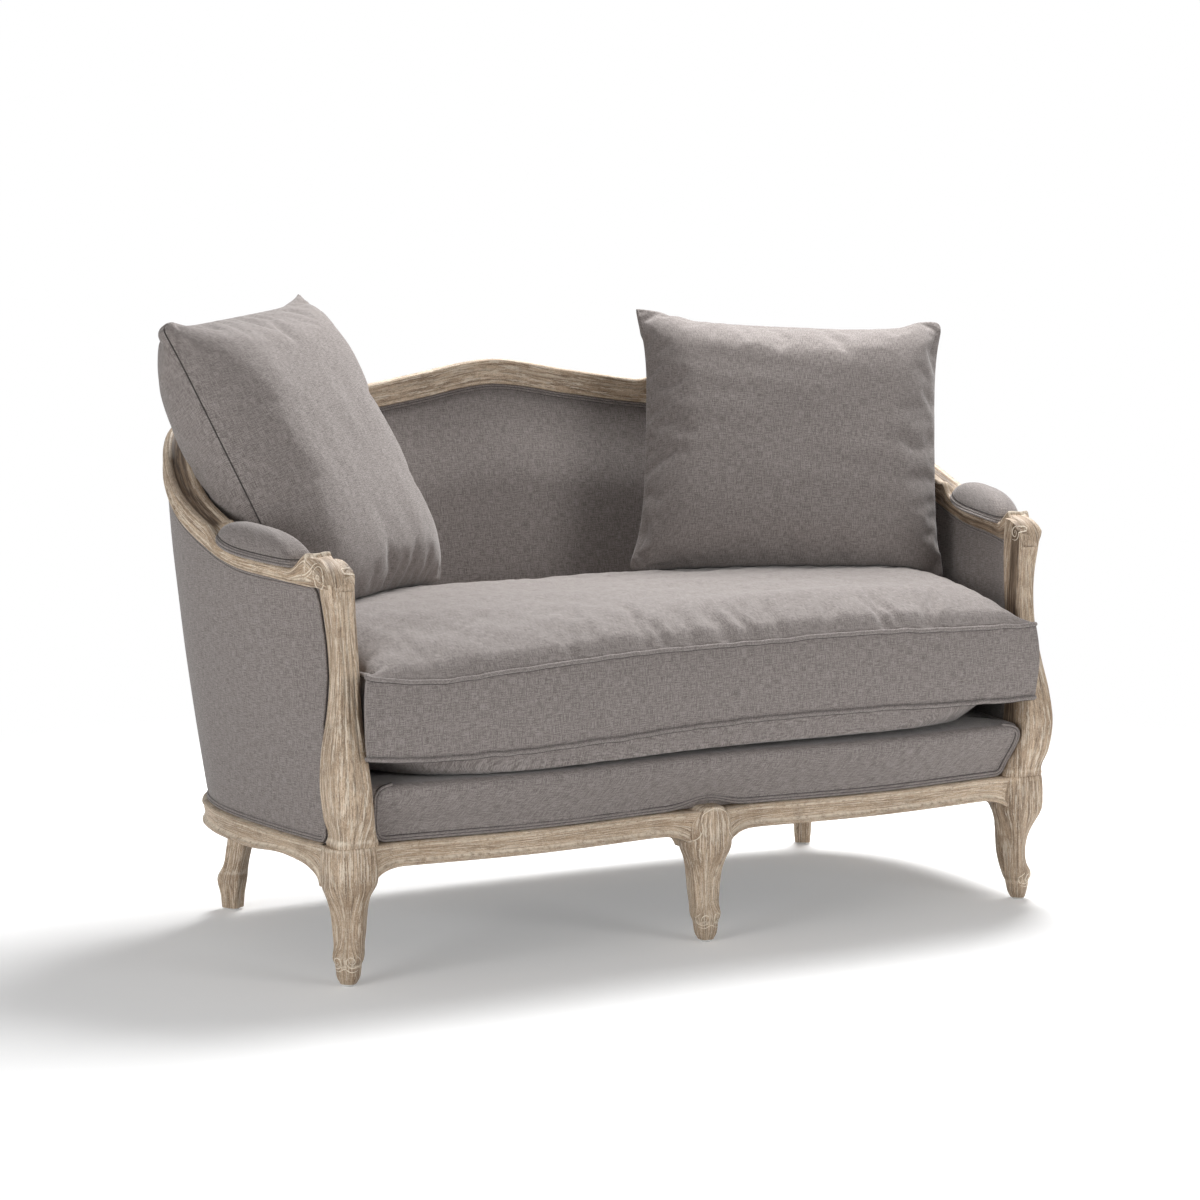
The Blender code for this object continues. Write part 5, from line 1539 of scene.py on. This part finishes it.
def pillowForm(a, b, side, own):              # crowned faces, sides drawn in between the corners
    look = pillowLook
    width, height = (look["size"] * share for share in own["fit"])
    left, right, lower, upper = own["pull"]
    x = a * (width / 2 - np.where(a < 0, left, right) * (1 - np.abs(b) ** own["ears"]))
    y = b * (height / 2 - np.where(b < 0, lower, upper) * (1 - np.abs(a) ** own["ears"]))
    tip = np.clip(1 - (2 - np.abs(a) - np.abs(b)) / 0.14, 0, 1) ** 2
    lowLeft, lowRight, highLeft, highRight = own["blunt"]
    tip = tip * np.where(b < 0, np.where(a < 0, lowLeft, lowRight),
                         np.where(a < 0, highLeft, highRight))
    x, y = x - np.sign(a) * tip, y - np.sign(b) * tip
    swell = np.maximum((1 - a ** 4) * (1 - b ** 4), 0) ** look["swell"]
    full = np.where(side > 0, own["full"][1], own["full"][0])
    return np.column_stack([x, y, side * swell * full * look["thickness"] / 2])


def keepClear(points, names, gap):            # lifts points out of what they lean on or rest on
    for name in names:
        tree = surfaceTree(name)
        for i, point in enumerate(points):
            near, normal = tree.find_nearest(Vector(point), pillowLook["reach"])[:2]
            if near is None:
                continue
            depth = (Vector(point) - near).dot(normal)
            if depth < gap:
                points[i] = point + np.array(normal) * min(gap - depth, pillowLook["push"])
    return points


def pillow(word, seed):
    look, own = pillowLook, pillowLook[word]
    bm = gridPair(look["cells"], look["cells"])
    bmesh.ops.recalc_face_normals(bm, faces=bm.faces)
    flat = np.array([vert.co for vert in bm.verts])
    a, b = (crowded(part, look["crowding"]) for part in flat[:, :2].T)
    side = np.where(flat[:, 2] > 0.5, 1, -1)
    points = pillowForm(a, b, side, own)
    rim = np.maximum(np.abs(a), np.abs(b)) > 0.9999
    points[:, 2] += rim * side * look["seamHalf"]
    large, small = look["folds"]
    fold = ripple(a * 0.3, b * 0.3, seed, 0.20) * large
    fold = fold + ripple(a * 0.3, b * 0.3, seed + 1, 0.07) * small
    points[:, 2] += side * fold * (1 - rim) * (1 - np.maximum(np.abs(a), np.abs(b)) ** 6)
    uvLayer = bm.loops.layers.uv.new("cloth")
    bm.verts.index_update()
    reach = look["size"] / 2 * 1.12
    for face in bm.faces:
        for loop in face.loops:
            i = loop.vert.index
            loop[uvLayer].uv = (flat[i, 0] * reach, flat[i, 1] * reach + side[i] * 0.002)
    for vert, point in zip(bm.verts, points):
        vert.co = point
    piece = newPiece(f"{word}_pillow_cover", bm, linen)
    moved = inflate(piece, rim) - points
    length = np.linalg.norm(moved, axis=1, keepdims=True)
    points = points + moved * np.minimum(1, look["cap"] / np.maximum(length, 1e-9))
    final = pillowPlace(own)(points)
    walls = ["inside_back", f"{word}_inside_arm", "crest_rail", f"{word}_arm_rail",
             f"{word}_arm_pad", "inside_wall_welt", "seat_cushion_cover"]
    final = keepClear(final, walls, look["clear"])
    piece.data.vertices.foreach_set("co", final.astype(np.float32).ravel())
    piece.data.update()
    finishWith(piece, "SUBSURF", levels=1, render_levels=1)
    fit(piece, f"{word}_pillow", [f"{word}_pillow"])
    if "seam" not in own:
        return
    edge = (a < -0.9999) & (np.abs(b) < own["seam"])
    lines = [final[edge & (side == way)][np.argsort(b[edge & (side == way)])] for way in (-1, 1)]
    path = evenPath((lines[0] + lines[1]) / 2, look["seamStep"])
    # The seam drawn as a thin line of painted shade.
    seam = tube(f"{word}_pillow_seam", path, look["seamRadius"], 6, seamDark)
    fit(seam, f"{word}_pillow")


def pillowPlace(own):                         # from the pillow's own axes to the seat's
    shareX, shareY, shareZ = own["middle"]
    middle = np.array([sizes["topHalfWidth"] * shareX,
                       sizes["feetLine"] + sizes["topReach"] * shareY,
                       sizes["crestUnder"] * shareZ])
    turn, lean, roll = (math.radians(angle) for angle in own["angles"])
    across = np.array([math.cos(turn), math.sin(turn), 0])
    away = np.array([-math.sin(turn), math.cos(turn), 0])
    up = away * math.sin(lean) + np.array([0, 0, 1]) * math.cos(lean)
    rolled = across * math.cos(roll) + up * math.sin(roll)
    risen = up * math.cos(roll) - across * math.sin(roll)
    face = np.cross(rolled, risen)
    return lambda points: (middle + points[:, :1] * rolled + points[:, 1:2] * risen
                           + points[:, 2:] * face)


pillow("left", 61)
pillow("right", 62)
print("pillows plumped")


# Carved lines

def castOnto(names):                          # the first surface that a line meets
    trees = [surfaceTree(name) for name in names]

    def cast(point, way):
        hits = [tree.ray_cast(Vector(point), Vector(way)) for tree in trees]
        hits = [hit for hit in hits if hit[0] is not None]
        return min(hits, key=lambda hit: hit[3]) if hits else None
    return cast


def engrave(name, onto, origin, right, strokes, radius):
    cast = castOnto(onto)
    right, up = np.array(right, float), np.array([0.0, 0.0, 1.0])
    way = np.cross(up, right)                 # from the viewer into the wood
    lines = []
    for stroke in strokes:
        flat = evenPath(np.column_stack([dense(stroke, 8), np.zeros((len(stroke) - 1) * 8 + 1)]),
                        0.0010)
        points = []
        for a, b, _ in flat:
            start = np.array(origin) + right * a + up * b - way * 0.15
            hit = cast(start, way)
            if hit and hit[3] < 0.3:
                points.append(hit[0] - hit[1] * radius * 0.25)
        if len(points) > 4:
            points = softPath(np.array(points), 1)
            taper = np.sin(np.linspace(0.12, math.pi - 0.12, len(points))) ** 0.35
            lines.append(tube(name, points, radius * taper, 6, limeWash))
    return fit(joined(name, lines), "frame")


def spiral(size, turns, tall, flip=1, start=0.0):
    angle = np.linspace(0, turns * 2 * math.pi, int(turns * 14))
    reach = size * (1 - 0.86 * angle / angle[-1])
    return [(flip * r * math.sin(t + start), tall * r * math.cos(t + start))
            for r, t in zip(reach, angle)]


def eyeRing(size, tall):
    angle = np.linspace(0, 2 * math.pi, 25)
    return [(size * math.sin(t), tall * size * math.cos(t)) for t in angle]


carvingLook = {
    "line": 0.0012, "eye": 0.0130, "innerEye": 0.0132, "footEye": 0.0122, "footApart": 0.0128,
    "footHeight": 0.043, "outerPlace": (0.711, 0.0145, 0.673), "innerPlace": (0.64, 0.002, 0.6770),
    "outerTurn": (0.69, 0.72),
    "arc": ((-0.042, 0.0), (-0.029, 0.004), (-0.020, 0.011), (-0.013, 0.020), (-0.004, 0.0235)),
    "under": ((-0.032, -0.003), (-0.022, 0.003), (-0.016, 0.010)),
    "knee": ((-0.027, 0.173), (-0.024, 0.185), (-0.012, 0.193), (0, 0.196), (0.012, 0.193),
             (0.024, 0.185), (0.027, 0.173)),
    "kneeSide": ((0.052, 0.138), (0.036, 0.143), (0.026, 0.158), (0.027, 0.176)),
    "toe": ((-0.024, -0.012), (-0.012, -0.017), (0, -0.012), (0.012, -0.017), (0.024, -0.012)),
}


def mirrored(stroke, side=-1):
    return [(side * a, b) for a, b in stroke]


def carving():
    look = carvingLook
    feet = sizes["feetLine"]
    for word, side in (("left", -1), ("right", 1)):
        head = [f"{word}_arm_post", f"{word}_arm_rail"]
        outer = [eyeRing(look["eye"], 1.45), spiral(look["eye"] * 0.5, 1.4, 1.25, 1, 2.6),
                 look["arc"], look["under"]]
        (x, y, z), (turnX, turnY) = look["outerPlace"], look["outerTurn"]
        engrave(f"{word}_post_outer_scroll", head, (side * x, feet + y, z),
                (turnX, side * turnY, 0), [mirrored(stroke, -side) for stroke in outer],
                look["line"])
        x, y, z = look["innerPlace"]
        engrave(f"{word}_post_inner_scroll", head, (side * x, feet + y, z), (0, -side, 0),
                [mirrored(spiral(look["innerEye"], 1.9, 1.1, -1, 2.6), side)], look["line"])
        footEyes(f"front_{word}_leg", (side * sizes["legX"], feet), (side, -1.0, 0.0))
    centre, forward = (0.0, feet + legLook["centreY"]), np.array([0.0, -1.0, 0.0])
    footEyes("front_centre_leg", centre, forward)
    engrave("front_centre_knee_lines", ["front_centre_leg", "front_left_rail", "front_right_rail"],
            np.array([*centre, look["footHeight"]]) + forward * 0.04, (1.0, 0.0, 0.0),
            [look["knee"], mirrored(look["kneeSide"]), look["kneeSide"]], look["line"] * 0.8)


def footEyes(name, place, forward):           # two eyes side by side and the line over the toe
    look = carvingLook
    forward = unit(np.array(forward))
    strokes = [[(x + side * look["footApart"], y + 0.001 * side)
                for x, y in spiral(look["footEye"], 1.8, 1.1, side, 0.6)] for side in (-1, 1)]
    origin = np.array([*place, look["footHeight"]]) + forward * 0.03
    engrave(f"{name}_eyes", [name], origin, np.cross(-forward, (0, 0, 1)),
            strokes + [look["toe"]], look["line"] * 0.9)


carving()
print("lines carved")


# Camera, floor, lights

cameraLook = {
    "place": (-2.8141, -5.1165, 1.2615), "yaw": math.radians(28.95),
    "pitch": math.radians(6.91), "roll": math.radians(-0.21), "lens": 96.72, "sensor": 36.0,
}


def camera():
    look = cameraLook
    yaw, pitch = look["yaw"], look["pitch"]
    ahead = Vector((math.sin(yaw) * math.cos(pitch), math.cos(yaw) * math.cos(pitch),
                    -math.sin(pitch)))
    right = ahead.cross(Vector((0, 0, 1))).normalized()
    level = Matrix((right, right.cross(ahead), -ahead)).transposed().to_4x4()
    data = bpy.data.cameras.new("studioCamera")
    data.lens, data.sensor_width = look["lens"], look["sensor"]
    data.clip_end = 60
    made = bpy.data.objects.new("studioCamera", data)
    made.matrix_world = Matrix.Translation(look["place"]) @ level \
        @ Matrix.Rotation(look["roll"], 4, "Z")
    bpy.context.scene.collection.objects.link(made)
    bpy.context.scene.camera = made


studio = {
    "fillWorld": 0.17,
    "lamps": (("overheadKey", (1.3, 0.90, 3.3), (0.1, -0.1, 0.4), 1.7, 205.0),
              ("frontFill", (1.5, -3.7, 0.9), (0.0, 0.0, 0.45), 1.6, 41.0),
              ("leftFill", (-3.6, -1.6, 0.8), (0.0, 0.0, 0.45), 1.6, 56.0)),
    "floorHalf": 14.0, "floorColour": (0.90, 0.90, 0.90, 1), "lift": 0.22,
    "fadeStart": 1.3, "fadeEnd": 2.4,
}


def seenDirectly(wires):
    path = wires.make("ShaderNodeLightPath")
    outputs = path.socket.node.outputs
    camera, glossy, through = (Wire(wires.tree, outputs[key]) for key in
                               ("Is Camera Ray", "Is Glossy Ray", "Is Transmission Ray"))
    return wires.maths("MAXIMUM", wires.maths("MAXIMUM", camera, glossy), through)


def emptyWires(owner):                        # an owner's node tree, cleared
    owner.use_nodes = True
    owner.node_tree.nodes.clear()
    return Wire(owner.node_tree)


def lightUp(name, place, target, size, power):
    data = bpy.data.lights.new(name, "AREA")
    data.shape, data.size, data.energy = "SQUARE", size, power
    lamp = bpy.data.objects.new(name, data)
    lamp.location = place
    lamp.rotation_euler = (Vector(target) - Vector(place)).to_track_quat("-Z", "Y").to_euler()
    bpy.context.scene.collection.objects.link(lamp)


def stageSet():
    world = bpy.data.worlds.new("paleStudio")
    bpy.context.scene.world = world
    wires = emptyWires(world)
    strength = seenDirectly(wires) * (1 - studio["fillWorld"]) + studio["fillWorld"]
    backdrop = wires.make("ShaderNodeBackground", {}, {"Color": (1, 1, 1, 1),
                                                       "Strength": strength})
    wires.make("ShaderNodeOutputWorld", {}, {"Surface": backdrop}, out=None)
    for lamp in studio["lamps"]:
        lightUp(*lamp)
    material = bpy.data.materials.new("paleFloor")
    wires = emptyWires(material)
    place = wires.make("ShaderNodeTexCoord", out="Object")
    distance = wires.make("ShaderNodeVectorMath", {"operation": "LENGTH"}, {0: place}, out="Value")
    seen = seenDirectly(wires)
    matt = wires.make("ShaderNodeBsdfDiffuse", {}, {"Color": studio["floorColour"]})
    lift = wires.make("ShaderNodeEmission", {}, {"Strength": seen * studio["lift"]})
    matt = wires.make("ShaderNodeAddShader", {}, {0: matt, 1: lift})
    white = wires.make("ShaderNodeEmission", {}, {"Strength": 1.0})
    fade = distance.span(studio["fadeStart"], studio["fadeEnd"]) * seen
    floorMix = wires.make("ShaderNodeMixShader", {}, {0: fade, 1: matt, 2: white})
    wires.make("ShaderNodeOutputMaterial", {}, {"Surface": floorMix}, out=None)
    bm = bmesh.new()
    bmesh.ops.create_grid(bm, x_segments=4, y_segments=4, size=studio["floorHalf"])
    newPiece("studio_floor", bm, material)
    bpy.context.scene.view_settings.view_transform = "Standard"


camera()
stageSet()
print("studio lit")
